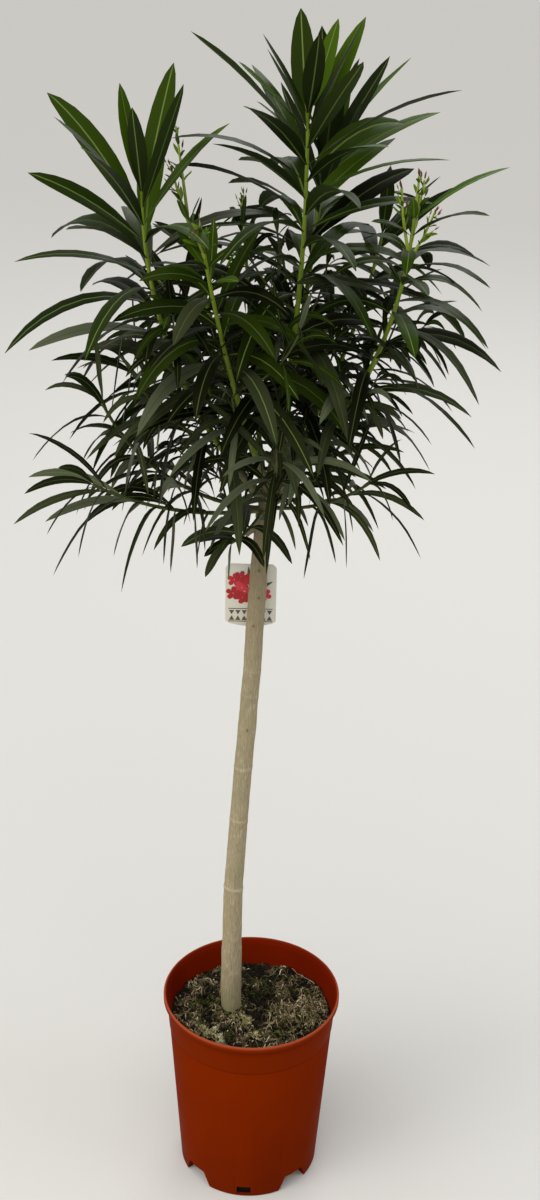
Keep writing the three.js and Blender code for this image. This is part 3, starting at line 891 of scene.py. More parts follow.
# %% [markdown]
# ## The stem
# The stem is a single pole of smooth grey-tan bark. A cylinder is cut into fine rings, and every point
# is then put at its height: the stem's lean and taper come from a short table of stations, its flare
# and lumps from a few waves, and the upright grain from stretched noise. Old whorls of leaves left
# ring scars, and rubbed-off shoots left knots. Both are also painted, scars pale and knots dark, each
# through its own attribute of the mesh.

# %% Stations of the stem
STEM = np.array([  # across, height, diameter
    (-24.3, 213.3, 23.8), (-24.4, 220, 23.6), (-24.6, 229, 24.2), (-24.9, 247, 24.6), (-24.5, 285, 24),
    (-24.2, 325, 22.9), (-23.6, 389, 22), (-23.2, 399, 21.9), (-20.6, 445, 21.3), (-18.5, 484, 20.8),
    (-17.9, 492, 20.7), (-14.4, 555, 20.3), (-13.9, 563, 20.2), (-10.5, 611, 20.1), (-8.3, 650, 19.6),
    (-6, 683, 19.6), (-3.8, 742, 19.3), (-0.4, 808, 18.4), (0.2, 832, 16.6), (1.6, 856, 14.4),
    (4, 880, 13.4), (7.4, 903, 12.4), (7.8, 908, 10),
])
STEM_DEPTH = 6  # how far the stem stands behind the pot's axis
STEM_BURIED = 5
STEM_SIDES = 96
STEM_CUTS = (97, 3)  # the cylinder is cut into 98 lengths, and each of those into 4
SCARS = [  # height, swell
    (394, 0.85), (488, 0.5), (559, 0.5), (651, 0.3), (683, 0.3), (445, 0.15), (325, 0.12),
]
KNOTS = [  # turn about the stem, height, size
    (-86, 612, 1.1), (-98, 742, 1.2), (-78, 776, 1.0), (-90, 808, 1.3), (60, 530, 1.3), (150, 700, 1.2),
]


def stem_at(height):
    """The middle of the stem at a height."""
    return Vector((float(np.interp(height, STEM[:, 1], STEM[:, 0])), STEM_DEPTH, height))


def stem_width(height):
    return float(np.interp(height, STEM[:, 1], STEM[:, 2]))


def stem_radius(angle, height):
    """The stem's radius with its flare, lumps and grain, and how much of a scar or knot is there."""
    radius = stem_width(height) / 2
    around = Vector((math.cos(angle), math.sin(angle), 0))
    flare = 1 - smooth(height, 213, 240)
    lumps = noise.noise(around * 1.1 + Vector((0, 0, height / 24))) * 0.45
    grain = noise.noise(around * 6.5 + Vector((0, 0, height / 13))) * 0.17
    grain += noise.noise(around * 3.1 + Vector((5, 0, height / 5))) * 0.1
    radius += lumps + grain + flare * 0.7 * math.sin(3 * angle + 0.8)
    scarred = 0.0
    for scar, swell in SCARS:
        off = height - scar - 1.6 * math.sin(angle + scar)
        ridge, crease = math.exp(-((off / 3.2) ** 2)), math.exp(-(((off - 2) / 0.9) ** 2))
        radius += swell * ridge - 0.35 * swell * crease
        scarred = max(scarred, min(1, 1.3 * swell) * math.exp(-(((off - 1.7) / 1.1) ** 2)))
    knotted = 0.0
    for turn, at, size in KNOTS:
        aside = (angle - math.radians(turn) + math.pi) % math.tau - math.pi
        off = math.hypot(aside * radius / 1.2, (height - at) / 1.6) / size
        radius += 0.7 * math.exp(-((off - 1.1) ** 2) * 2.2) - 0.5 * math.exp(-off * off * 2)
        knotted = max(knotted, math.exp(-off * off * 1.6))
    return radius, scarred, knotted


print("the stem rises", STEM[-1, 1] - STEM[0, 1], "mm from the soil")


# %% The stem's mesh
def cut_uprights(cuts):
    """Cuts every upright edge of the active mesh, which adds level rings to it."""
    mesh = bpy.context.object.data
    modes = bpy.context.tool_settings
    modes.mesh_select_mode = (False, True, False)
    with editing("DESELECT"):
        pass
    for edge in mesh.edges:
        a, b = (mesh.vertices[i].co for i in edge.vertices)
        edge.select = abs(a.z - b.z) > 1e-5 and (a - b).xy.length < 1e-5
    bpy.ops.object.mode_set(mode="EDIT")
    bpy.ops.mesh.subdivide(number_cuts=cuts)
    bpy.ops.object.mode_set(mode="OBJECT")
    modes.mesh_select_mode = (True, False, False)


def make_stem():
    clear_selection()
    bpy.ops.mesh.primitive_cylinder_add(vertices=STEM_SIDES, radius=1, depth=1, end_fill_type="TRIFAN")
    stem = bpy.context.object
    stem.name = "bark_stem"
    for cuts in STEM_CUTS:
        cut_uprights(cuts)
    low, high = STEM[0, 1] - STEM_BURIED, STEM[-1, 1]
    marks = np.zeros((2, len(stem.data.vertices)))
    for i, vertex in enumerate(stem.data.vertices):
        x, y, z = vertex.co
        height = lerp(low, high, z + 0.5)
        radius, marks[0, i], marks[1, i] = stem_radius(math.atan2(y, x), height)
        middle = stem_at(height)
        vertex.co = (middle + Vector((x, y, 0)) * radius) * MM
    for name, values in zip(("scar", "knot"), marks):
        stem.data.attributes.new(name, "FLOAT", "POINT").data.foreach_set("value", values)
    smooth_by_angle(stem, 50)
    return stem


bark = Finish("grey_tan_bark", (0.36, 0.3, 0.185), 0.82, Specular_IOR_Level=0.3)
grain = bark.mask(900, 0.3, 0.7, stretch=(1, 1, 0.09), detail=5)
dark_flecks = bark.mask(760, 0.6, 0.72, stretch=(1, 1, 0.2), offset=(3, 1, 2))
bark.coat((0.19, 0.15, 0.085), grain, 0.62)
bark.coat((0.54, 0.49, 0.36), bark.mask(620, 0.56, 0.7, stretch=(1, 1, 0.16)), 0.5)
bark.coat((0.12, 0.1, 0.055), dark_flecks, 0.7)
bark.coat((0.2, 0.21, 0.1), bark.mask(22, 0.5, 0.68, stretch=(1, 1, 0.4)), 0.4)
bark.coat((0.17, 0.19, 0.08), bark.height_mask(262, 214), 0.45)
# Painted shade: the bark is painted darker towards the head, where the leaves above shade it.
bark.coat((0.2, 0.155, 0.085), bark.height_mask(640, 860), 0.65)
bark.coat((0.1, 0.082, 0.042), bark.height_mask(760, 900), 0.6)
bark.coat((0.52, 0.46, 0.33), bark.attribute_mask("scar"), 0.6)
bark.coat((0.05, 0.035, 0.018), bark.attribute_mask("knot"), 0.9)
bark.bump(grain, 0.5, 0.35)
stem = make_stem()
stem.data.materials.append(bark.material)
hand_over(stem, ["stem"])

# %% [markdown]
# ### The pruned stub
# Below the head a side shoot was cut off. Its stub points down to the left, and its cut face is paler.

# %% Stub
STUB = {"root": (0, 6, 859), "end": (-16, 4, 847), "radius": (4.6, 3.5), "rings": 16, "sides": 20}


def make_stub():
    steps = np.linspace(0, 1, STUB["rings"])
    line = np.outer(1 - steps, STUB["root"]) + np.outer(steps, STUB["end"])
    across, upward = ring_frames(line)
    radii = np.zeros((STUB["rings"], STUB["sides"]))
    for ring, share in enumerate(steps):
        for side in range(STUB["sides"]):
            angle = side * math.tau / STUB["sides"]
            rough = noise.noise(Vector((2 * math.cos(angle), 2 * math.sin(angle), share * 5))) * 0.5
            swell = 0.7 * math.exp(-(((share - 0.9) / 0.06) ** 2))
            radii[ring, side] = lerp(*STUB["radius"], share) + rough + swell
    points, faces = tube(line, across, upward, radii, STUB["sides"])
    last = len(points) - 1
    heap = Heap()
    heap.add(points, faces, [1 if last in face else 0 for face in faces])
    return heap.piece("pruned_stub", [bark.material, plain_finish("cut_wood", (0.5, 0.4, 0.24), 0.8)])


stub = make_stub()
smooth_by_angle(stub, 45)
hand_over(stub)

# %% [markdown]
# ## The rule of the shoots
# Every shoot leaves the stem at its own height and heading, rises in one upright plane, and turns
# evenly from its first slope to its last. Whorls of three leaves stand along it, a little closer at its
# tip. All draws come from whole-number keys through one mixing function, so the plant grows the same
# way each time. The solids grow from the same shoots by a rule of the same form. The leaves here have
# numbers of their own: they arch more, and stand closer together on the long shoots.

# %% Keys to numbers
SEED = 20
LOW_WORD = 0xFFFFFFFF


def chance(*keys):
    """A number from 0 to 1 that depends only on its keys."""
    mixed = SEED
    for key in keys:
        mixed = ((mixed ^ (key + 0x7F4A7C15)) * 0x85EBCA6B) & LOW_WORD
        mixed = ((mixed ^ (mixed >> 13)) * 0xC2B2AE35) & LOW_WORD
        mixed ^= mixed >> 16
    return mixed / 2**32


def swing(size, *keys):
    return size * (2 * chance(*keys) - 1)


def turned(vector, axis, degrees):
    return Matrix.Rotation(math.radians(degrees), 3, axis) @ vector


print("the first draws are", [round(chance(k), 3) for k in range(4)])

# %% Shoots of the head
SHOOTS = [  # name, height, heading, slopes, length, leaf, opening, flower stalk
    ("leader", 905, -38, (77, 92), 388, 150, 98, 0),
    ("back_leader", 899, 62, (64, 80), 368, 140, 98, 0),
    ("front", 899, -117, (57, 72), 326, 130, 52, 14),
    ("left_back", 897, 142, (60, 76), 296, 134, 76, 84),
    ("right_front", 889, -18, (44, 88), 358, 140, 42, 40),
    ("right_back", 888, 38, (46, 76), 300, 128, 62, 0),
    ("back", 888, 100, (40, 72), 300, 132, 65, 30),
    ("left_tall", 885, -168, (48, 90), 360, 160, 74, 0),
    ("mid_front", 884, -84, (26, 56), 160, 100, 40, 0),
    ("mid_left", 882, 160, (34, 46), 204, 112, 50, 0),
    ("far_right", 878, 20, (40, 76), 250, 118, 50, 0),
    ("back_left", 879, 124, (26, 62), 250, 120, 60, 0),
    ("low_right", 878, -34, (8, 42), 140, 106, 40, 0),
    ("low_left", 875, -176, (5, 66), 214, 112, 50, 0),
    ("lowest_left", 875, -150, (3, 34), 206, 124, 44, 0),
    ("low_back", 876, 82, (5, 50), 205, 108, 44, 0),
    ("low_right_back", 875, 46, (3, 40), 140, 92, 40, 0),
    ("low_front", 876, -108, (-10, 16), 105, 72, 26, 0),
]
LONGEST, SHORTEST = 385, 130
BARE_SHARE = 0.17  # how much of a shoot has shed its leaves
WHORL = 3
LEAF_STEPS = 24
LEAF = {  # pairs are for the weakest and the strongest shoot
    "width": (15, 25), "breadth": (0.46, 1.03), "spacing": (22, 16),
    "sag": (3.1, 1.7), "rise": (0.95, 0.8),
}
TIP_ANGLE, OLD_ANGLE = 22, 72  # how far a leaf leans from its stem, when it is new and when it is old
WHORLS = {  # from the tip to the first whorl and on to the second, with a stalk on the tip or none
    True: (12, 17), False: (2, 16),
}
SPACING_GAIN = 4.5  # how much each step to the next whorl grows, down to the full spacing
STRONG = 0.6  # shoots stronger than this carry more twigs and stay green
CROWN = {"reach": 272, "left": -257, "foot": 850, "top": 1379}
GOLDEN_ANGLE = 137.5
UP = Vector((0, 0, 1))


class Shoot:
    """A stem that bends evenly in one upright plane."""

    def __init__(self, index, start, heading, slopes, length, leaf, opening, stalk, girth=1):
        self.index, self.start, self.length, self.girth = index, start, length, girth
        self.leaf, self.opening, self.stalk = leaf, opening, stalk
        self.away = Vector((math.cos(math.radians(heading)), math.sin(math.radians(heading)), 0))
        self.side = UP.cross(self.away)
        self.slopes = [math.radians(s) for s in slopes]
        self.roll = 47 * index
        self.strength = smooth(length, SHORTEST, LONGEST)

    def point(self, share):
        first, last = self.slopes
        now, bend = lerp(first, last, share), self.length / (last - first)
        level = bend * (math.sin(now) - math.sin(first))
        return self.start + self.away * level + UP * bend * (math.cos(first) - math.cos(now))

    def along(self, share):
        now = lerp(*self.slopes, share)
        return self.away * math.cos(now) + UP * math.sin(now)

    def across(self, share):
        along = self.along(share)
        return turned(along.cross(self.side).normalized(), along, self.roll)

    def whorls(self):
        """Distances from the tip to the whorls of leaves."""
        spacing, places = lerp(*LEAF["spacing"], self.strength), []
        distance, young = WHORLS[self.stalk > 0]
        while distance < self.length * (1 - BARE_SHARE) - 12:
            places.append(distance)
            distance += min(spacing, young + SPACING_GAIN * (len(places) - 1))
        return places


shoots = [
    Shoot(index, stem_at(height), heading, slopes, length, leaf, opening, stalk)
    for index, (_, height, heading, slopes, length, leaf, opening, stalk) in enumerate(SHOOTS)
]
print(len(shoots), "shoots carry", sum(len(s.whorls()) for s in shoots), "whorls")

# %% [markdown]
# ## Finer twigs
# The solids stop at the main shoots. On the real plant short side twigs fill the middle of the head:
# they leave a shoot's lower half, turn up, and carry small, narrow leaves by the same rule.

# %% Side twigs
SIDE_TWIGS = {
    "strong": 5, "weak": 1, "share": (0.1, 0.62), "places": (4, 6), "slope": (12, 42), "bend": (22, 48),
    "length": (62, 128), "leaf": (52, 84), "opening": 34, "girth": 0.62,
}


def side_twig(parent, number, index):
    """A twig from the lower half of a shoot, turned about it by the golden angle."""
    def draw(name, key):
        return lerp(*SIDE_TWIGS[name], chance(parent.index, number, key))

    places = round(lerp(*SIDE_TWIGS["places"], parent.strength))
    share = lerp(*SIDE_TWIGS["share"], (number + chance(parent.index, number, 21)) / places)
    heading = GOLDEN_ANGLE * number + 61 * parent.index + swing(25, parent.index, number, 22)
    first = draw("slope", 23)
    last = first + draw("bend", 24)
    length = draw("length", 25) * lerp(0.75, 1, parent.strength)
    root, slopes, leaf = parent.point(share), (first, last), draw("leaf", 26)
    return Shoot(
        index, root, heading, slopes, length, leaf, SIDE_TWIGS["opening"], 0, SIDE_TWIGS["girth"]
    )


side_twigs = []
for parent in shoots:
    for number in range(SIDE_TWIGS["strong" if parent.strength > STRONG else "weak"]):
        side_twigs.append(side_twig(parent, number, len(shoots) + len(side_twigs)))
print(len(side_twigs), "side twigs may grow")

# %% [markdown]
# ## Boughs and green stems
# A shoot is woody and bare near the stem, and green from there to its tip. Both parts are tubes round
# the shoot's line: they swell where a whorl stands and where the shoot leaves the stem. The woody part
# has the bark's relief.

# %% Tubes of the shoots
GIRTHS = {"bough": (2.4, 4.9), "neck": (1.9, 3.2), "tip": 1.5}  # radii, on weak and strong shoots
FLARE = {"more": 1.5, "reach": 8}  # at a shoot's root
RING = {"more": 0.13, "reach": 2.2}  # where a whorl stands


def shoot_radius(shoot, share):
    bough, neck = lerp(*GIRTHS["bough"], shoot.strength), lerp(*GIRTHS["neck"], shoot.strength)
    if share < BARE_SHARE:
        radius = lerp(bough, neck, share / BARE_SHARE)
    else:
        radius = lerp(neck, GIRTHS["tip"], (share - BARE_SHARE) / (1 - BARE_SHARE))
    flare = FLARE["more"] * shoot.girth * math.exp(-share * shoot.length / FLARE["reach"])
    radius = radius * shoot.girth + flare
    for place in shoot.whorls():
        off = (share - 1) * shoot.length + place
        if abs(off) < 3.2 * RING["reach"]:
            radius += RING["more"] * radius * math.exp(-((off / RING["reach"]) ** 2))
    return radius


def shoot_tube(shoot, span, make):
    """The tube of a shoot between two shares of its length."""
    pitch, sides, rough = make
    rings = max(4, round((span[1] - span[0]) * shoot.length / pitch))
    shares = np.linspace(*span, rings)
    line = np.array([shoot.point(t) for t in shares])
    across = np.array([shoot.across(t) for t in shares])
    upward = np.array([shoot.along(t).cross(shoot.across(t)) for t in shares])
    radii = np.repeat(np.array([shoot_radius(shoot, t) for t in shares])[:, None], sides, 1)
    for ring in range(rings):
        for side in range(sides):
            angle = side * math.tau / sides
            spot = Vector((3 * math.cos(angle), 3 * math.sin(angle), shares[ring] * shoot.length / 7))
            radii[ring, side] += rough * noise.noise(spot + Vector((shoot.index * 9, 0, 0)))
    return tube(line, across, upward, radii, sides)


def make_limbs(name, chosen, span, make, finish):
    heap = Heap()
    for shoot in chosen:
        heap.add(*shoot_tube(shoot, span, make), 0)
    piece = heap.piece(name, [finish])
    smooth_by_angle(piece, 60)
    return piece


young_bark = Finish("young_bark", (0.12, 0.125, 0.035), 0.65)
young_grain = young_bark.mask(800, 0.35, 0.68, stretch=(1, 1, 0.4))
young_bark.coat((0.2, 0.17, 0.085), young_grain, 0.6)
young_bark.coat((0.07, 0.05, 0.025), young_bark.mask(300, 0.6, 0.7), 0.5)
young_bark.bump(young_grain, 0.5, 0.3)
FINE, PLAIN = (1.6, 20, 0.3), (4, 10, 0.1)  # the length of a ring, its sides, and its roughness
boughs = make_limbs("boughs", shoots, (0, BARE_SHARE), FINE, young_bark.material)
hand_over(boughs, nodes_like("bough_"))
green = plain_finish("green_stem", (0.17, 0.25, 0.014), 0.5, Specular_IOR_Level=0.3)
olive = plain_finish("olive_twig", (0.055, 0.07, 0.012), 0.55, Specular_IOR_Level=0.3)
tall_shoots = [shoot for shoot in shoots if shoot.strength > STRONG]
low_shoots = [shoot for shoot in shoots if shoot.strength <= STRONG]
hand_over(make_limbs("green_stems", tall_shoots, (BARE_SHARE, 1), PLAIN, green))
hand_over(make_limbs("olive_stems", low_shoots, (BARE_SHARE, 1), PLAIN, olive))

# %% [markdown]
# ## One leaf, modelled once
# An oleander leaf is a long leathery blade, widest in the middle, with a pale midrib that is a groove
# on top and a ridge below. It is modelled once, flat and of unit length: a grid of five strips for the
# top, the middle one of them the midrib, and one of three strips for the underside. They meet at the
# leaf's edge. Three strips are enough below, because that side is flat but for its rib. Each of the
# hundreds of leaves is then a bent copy of it.

# %% The flat leaf
ROW_PLACES = [0, 0.04, 0.11, 0.2, 0.31, 0.43, 0.56, 0.69, 0.81, 0.92, 1]
OUTLINE = [0.1, 0.12, 0.32, 0.6, 0.84, 0.97, 1.0, 0.92, 0.73, 0.43, 0.02]  # half widths at those places
BLADE, RIB, BELOW = 0, 1, 2
RIB_HALF = 0.062  # of the blade's half width


def leaf_sheet(strips, lines, lifts):
    """A grid of the leaf's length. Lines run at these shares of its half width, at these lifts."""
    clear_selection()
    cells = len(OUTLINE) - 1
    bpy.ops.mesh.primitive_grid_add(x_subdivisions=strips, y_subdivisions=cells, size=2)
    sheet = bpy.context.object
    for vertex in sheet.data.vertices:
        line = round((vertex.co.x + 1) / 2 * strips)
        row = round((vertex.co.y + 1) / 2 * cells)
        narrow, share = OUTLINE[row], lines[line]
        if abs(share) == RIB_HALF:  # the midrib tapers evenly to the tip, whatever the blade does
            share = share * (1.25 - 0.45 * ROW_PLACES[row]) / max(narrow, 0.3)
        vertex.co = (share * narrow, ROW_PLACES[row], lifts[line] * min(1, narrow * 1.6))
    return sheet


def model_leaf():
    """Points, faces and the kind of each face: both sheets, welded along the edge."""
    top = leaf_sheet(5, (-1, -0.55, -RIB_HALF, RIB_HALF, 0.55, 1), (0, 0.85, 0.25, 0.25, 0.85, 0))
    below = leaf_sheet(3, (-1, -RIB_HALF, RIB_HALF, 1), (0, -0.9, -0.9, 0))
    activate(below)
    with editing():
        bpy.ops.mesh.flip_normals()
    places, points, faces, kinds = {}, [], [], []
    for sheet, blade in ((top, BLADE), (below, BELOW)):
        spots = []
        for vertex in sheet.data.vertices:
            key = tuple(round(c, 5) for c in vertex.co)
            if key not in places:
                places[key] = len(points)
                points.append(tuple(vertex.co))
            spots.append(places[key])
        for face in sheet.data.polygons:
            faces.append(tuple(spots[i] for i in face.vertices))
            kinds.append(RIB if abs(face.center.x) < 0.02 else blade)
        bpy.data.objects.remove(sheet)
    return np.array(points), faces, np.array(kinds)


leaf_template, leaf_faces, leaf_kinds = model_leaf()
print("one leaf has", len(leaf_template), "points and", len(leaf_faces), "faces")

# %% [markdown]
# ## Where the leaves grow
# A leaf leans out of its stem, and its own weight bends it down. Young leaves at a tip stand upright
# and are short. A leaf is only kept where it has room: inside the head, and clear of every stem and of
# the leaves before it. If it has none, it is turned aside and shortened a few times, as on the solids.

# %% A leaf in its whorl
LEAF_TRIES = 6
LONG_BY_BUDS = [(0, 1), (1, 0)]  # whorl and place of the long leaves beside the strongest buds
LONG_SIZE = 0.72
LOWEST_SHOOT = len(SHOOTS) - 1
LOWEST_BREADTH = 1.75  # the short leaves beside the stem are the broadest for their length


def leaf_size(shoot, whorl, place, from_tip):
    """How far a leaf has grown: it is short near a tip, and shortest under flower buds."""
    if not shoot.stalk:
        return 0.6 + 0.4 * smooth(from_tip, 0, 30)
    grown = 0.16 + 0.84 * (1 - math.exp(-((from_tip / 72) ** 1.5)))
    if shoot.strength > 0.9 and (whorl, place) in LONG_BY_BUDS:
        return max(grown, LONG_SIZE)
    return grown


def leaf_width(shoot, size, from_tip):
    """A leaf's width: small leaves, and old ones deep in the head, are slim."""
    wide = 0.2 + 0.74 * size if shoot.stalk else 0.5 + 0.5 * size
    wide *= lerp(*LEAF["breadth"], shoot.strength)
    wide *= lerp(1, 0.56, smooth(from_tip, 85, 220))
    if shoot.index == LOWEST_SHOOT:
        wide *= LOWEST_BREADTH
    return lerp(*LEAF["width"], shoot.strength) * wide


def leaf_at(shoot, whorl, place, from_tip, attempt):
    """The leaf in one place of a whorl. Later tries turn it further aside and make it shorter."""
    keys = (shoot.index, whorl, place, attempt)
    share = 1 - from_tip / shoot.length
    stem_way = shoot.along(share)
    opened = 1 - math.exp(-from_tip / shoot.opening)
    turn = 60 * whorl + 360 / WHORL * place + swing(12 + 9 * attempt, *keys, 1)
    lean = lerp(TIP_ANGLE, OLD_ANGLE, opened) + swing(9 + 3 * attempt, *keys, 2)
    across = turned(shoot.across(share), stem_way, turn)
    way = turned(stem_way, across, lean)
    rise = lerp(*LEAF["rise"], shoot.strength) * opened * max(0, 0.6 - way.z)
    way = (way + UP * rise).normalized()
    face = (stem_way - way * stem_way.dot(way)).normalized()
    face = turned(face, way, swing(16, *keys, 3))
    size = leaf_size(shoot, whorl, place, from_tip) * (1 + swing(0.1, *keys, 4)) * (1 - 0.07 * attempt)
    slack = max(opened, 0.62 - 0.62 * shoot.strength) * math.hypot(way.x, way.y)
    return {
        "root": shoot.point(share), "way": way, "face": face, "keys": keys, "shoot": shoot.index,
        "length": shoot.leaf * size, "width": leaf_width(shoot, size, from_tip),
        "sag": lerp(*LEAF["sag"], shoot.strength) * slack * (1 + swing(0.5, *keys, 5)),
        "fresh": max(0, 1 - from_tip / 28) if shoot.stalk else 0,
    }


def leaf_line(leaf):
    """Evenly spaced points on a leaf's middle, which bends down by its own weight."""
    drop = leaf["sag"] * (np.arange(LEAF_STEPS) + 0.5) / LEAF_STEPS
    way = np.array(leaf["way"]) - np.outer(drop, UP)
    way /= np.linalg.norm(way, axis=1)[:, None]
    line = np.concatenate([[leaf["root"]], way * leaf["length"] / LEAF_STEPS])
    return np.cumsum(line, axis=0)


def leaf_frames(leaf, places, twist=0.0):
    """Points on a leaf's middle at shares of its length, with its side and top directions there."""
    line = leaf_line(leaf)
    shares = np.linspace(0, 1, len(line))
    middle = np.stack([np.interp(places, shares, line[:, i]) for i in range(3)], 1)
    along = np.gradient(line, axis=0)
    along = np.stack([np.interp(places, shares, along[:, i]) for i in range(3)], 1)
    along /= np.linalg.norm(along, axis=1)[:, None]
    chord = line[-1] - line[0]
    side = np.cross(chord, leaf["face"])[None, :] * np.ones((len(along), 1))
    side -= along * (side * along).sum(1)[:, None]
    side /= np.linalg.norm(side, axis=1)[:, None]
    top = np.cross(side, along)
    turn = np.asarray(places)[:, None] * twist
    return middle, side * np.cos(turn) + top * np.sin(turn), top * np.cos(turn) - side * np.sin(turn)


print("a leaf's middle has", LEAF_STEPS + 1, "points")

# %% Room for a leaf
CLEARANCE = 0.45
SHIELD_PLACES = np.linspace(0, 1, 9)
SHIELD_HALF = np.interp(SHIELD_PLACES, ROW_PLACES, OUTLINE)


class Room:
    """The shapes that stand in the head so far, each as a tree of faces with its box."""

    def __init__(self):
        self.trees, self.owners, self.lows, self.highs = [], [], [], []

    def add(self, points, faces, owner):
        self.trees.append(BVHTree.FromPolygons([tuple(p) for p in points], faces))
        self.owners.append(owner)
        self.lows.append(points.min(0))
        self.highs.append(points.max(0))

    def touches(self, points, faces, owner=None):
        """Whether a shape touches one that stands there: of that owner, or of any other."""
        low, high = points.min(0), points.max(0)
        near = np.all((np.array(self.lows) < high) & (np.array(self.highs) > low), axis=1)
        tree = None
        for i in np.nonzero(near)[0]:
            if owner is not None and self.owners[i] == owner:
                continue
            tree = tree or BVHTree.FromPolygons([tuple(p) for p in points], faces)
            if tree.overlap(self.trees[i]):
                return True
        return False


def shield(leaf, grow, first=0):
    """A plain tube of four sides round a leaf, from one of its nine places to its tip."""
    middle, side, top = leaf_frames(leaf, SHIELD_PLACES[first:])
    half = (SHIELD_HALF[first:] * leaf["width"] / 2 + grow)[:, None]
    ring = np.stack([middle + side * half, middle + top * (0.8 + grow),
                     middle - side * half, middle - top * (0.9 + grow)], 1)
    faces = []
    for row in range(len(middle) - 1):
        for i in range(4):
            a, b = row * 4 + i, row * 4 + (i + 1) % 4
            faces.append((a, b, b + 4, a + 4))
    return ring.reshape(-1, 3), faces


def stem_shield(shoot, first=0):
    shares = np.linspace(first, 1, max(4, round(shoot.length / 14)))
    line = np.array([shoot.point(t) for t in shares])
    radii = np.array([shoot_radius(shoot, t) for t in shares]) + CLEARANCE
    return tube(line, *ring_frames(line), radii, 6)


def in_crown(leaf):
    line = leaf_line(leaf)
    low, high = line.min(0), line.max(0)
    within = np.hypot(line[:, 0], line[:, 1]).max() < CROWN["reach"] and CROWN["left"] < low[0]
    return within and CROWN["foot"] < low[2] and high[2] < CROWN["top"]


room = Room()
for shoot in shoots:
    points, faces = stem_shield(shoot)
    room.add(points, faces, ("stem", shoot.index))
pole = np.array([stem_at(height) for height in np.linspace(700, STEM[-1, 1], 12)])
points, faces = tube(pole, *ring_frames(pole), [stem_width(p[2]) / 2 + 1 for p in pole], 10)
room.add(points, faces, ("pole", 0))
fine_twigs = []
for twig in side_twigs:
    points, faces = stem_shield(twig, 0.12)
    if not room.touches(points, faces) and math.hypot(*twig.point(1).xy) < 0.8 * CROWN["reach"]:
        room.add(*stem_shield(twig), ("stem", twig.index))
        fine_twigs.append(twig)
SLIM = (5, 7, 0.05)
hand_over(make_limbs("fine_twigs", fine_twigs, (0, 1), SLIM, olive))
print("the head holds", len(room.trees), "stems before its leaves")


# %% Grow the leaves
def place_leaf(leaf):
    """Adds a leaf to the head if it has room."""
    if not in_crown(leaf):
        return False
    whole, faces = shield(leaf, CLEARANCE)
    outer, outer_faces = shield(leaf, CLEARANCE, 2)
    if room.touches(outer, outer_faces) or room.touches(whole, faces, ("stem", leaf["shoot"])):
        return False
    room.add(*shield(leaf, 0, 1), ("leaf", len(leaves)))
    leaves.append(leaf)
    return True


leaves = []
for shoot in shoots + fine_twigs:
    for whorl, from_tip in enumerate(shoot.whorls()):
        for place in range(WHORL):
            for attempt in range(LEAF_TRIES):
                if place_leaf(leaf_at(shoot, whorl, place, from_tip, attempt)):
                    break
print(len(leaves), "leaves found room")

# %% [markdown]
# ## Leaf finishes
# The blades are dark and leathery, with a soft gloss. No two have quite the same green, so a few plain
# greens are dealt out leaf by leaf. Low in the head most are a dull grey green, partly the older leaves'
# own colour, with painted sheen in the paler tones and painted shade in the darkest. Higher in the head
# the greens are clearer and brighter, which is painted light from above; a young leaf by the buds is
# brightest. The midrib is painted paler on leaves higher in the head, also painted light, and the
# underside is a matt green.

# %% Greens
LEAF_SHEEN = {"Specular_IOR_Level": 0.05, "Specular_Tint": (0.9, 1.0, 0.4, 1)}
# Clear greens, dark to bright: leaves higher in the head take the brighter ones, painted light from
# above, and the darkest stand in part for painted shade.
BLADE_GREENS = [(0.0036, 0.0075, 0.0006), (0.007, 0.014, 0.0009), (0.0125, 0.0245, 0.0012),
                (0.021, 0.041, 0.0018), (0.042, 0.083, 0.003)]
# Dull grey greens of older leaves low in the head: the paler ones carry painted sheen, and the darkest
# painted shade.
DULL_SHADE_SHEEN_GREENS = [(0.0036, 0.0046, 0.0011), (0.0105, 0.0132, 0.0042), (0.028, 0.034, 0.0145),
               (0.078, 0.09, 0.053)]
YOUNG_GREENS = [(0.04, 0.095, 0.006), (0.11, 0.19, 0.014)]
# Midribs: dull, clear and young. Leaves higher in the head more often take the paler clear one, as
# painted light.
RIB_GREENS = [(0.055, 0.07, 0.026), (0.115, 0.16, 0.04), (0.17, 0.25, 0.03)]
BELOW_GREENS = [(0.015, 0.024, 0.006), (0.026, 0.042, 0.009), (0.055, 0.1, 0.009)]
LEAF_SIDES = [  # name, greens, roughness
    ("top", BLADE_GREENS + DULL_SHADE_SHEEN_GREENS + YOUNG_GREENS, 0.4),
    ("rib", RIB_GREENS, 0.5),
    ("below", BELOW_GREENS, 0.55),
]
leaf_finishes = [
    plain_finish(f"leaf_{side}_{number}", green_tone, roughness, **LEAF_SHEEN)
    for side, greens, roughness in LEAF_SIDES
    for number, green_tone in enumerate(greens)
]
FIRST_YOUNG = len(BLADE_GREENS + DULL_SHADE_SHEEN_GREENS)
FIRST_RIB = FIRST_YOUNG + len(YOUNG_GREENS)
FIRST_BELOW = FIRST_RIB + len(RIB_GREENS)
print(len(leaf_finishes), "leaf finishes")


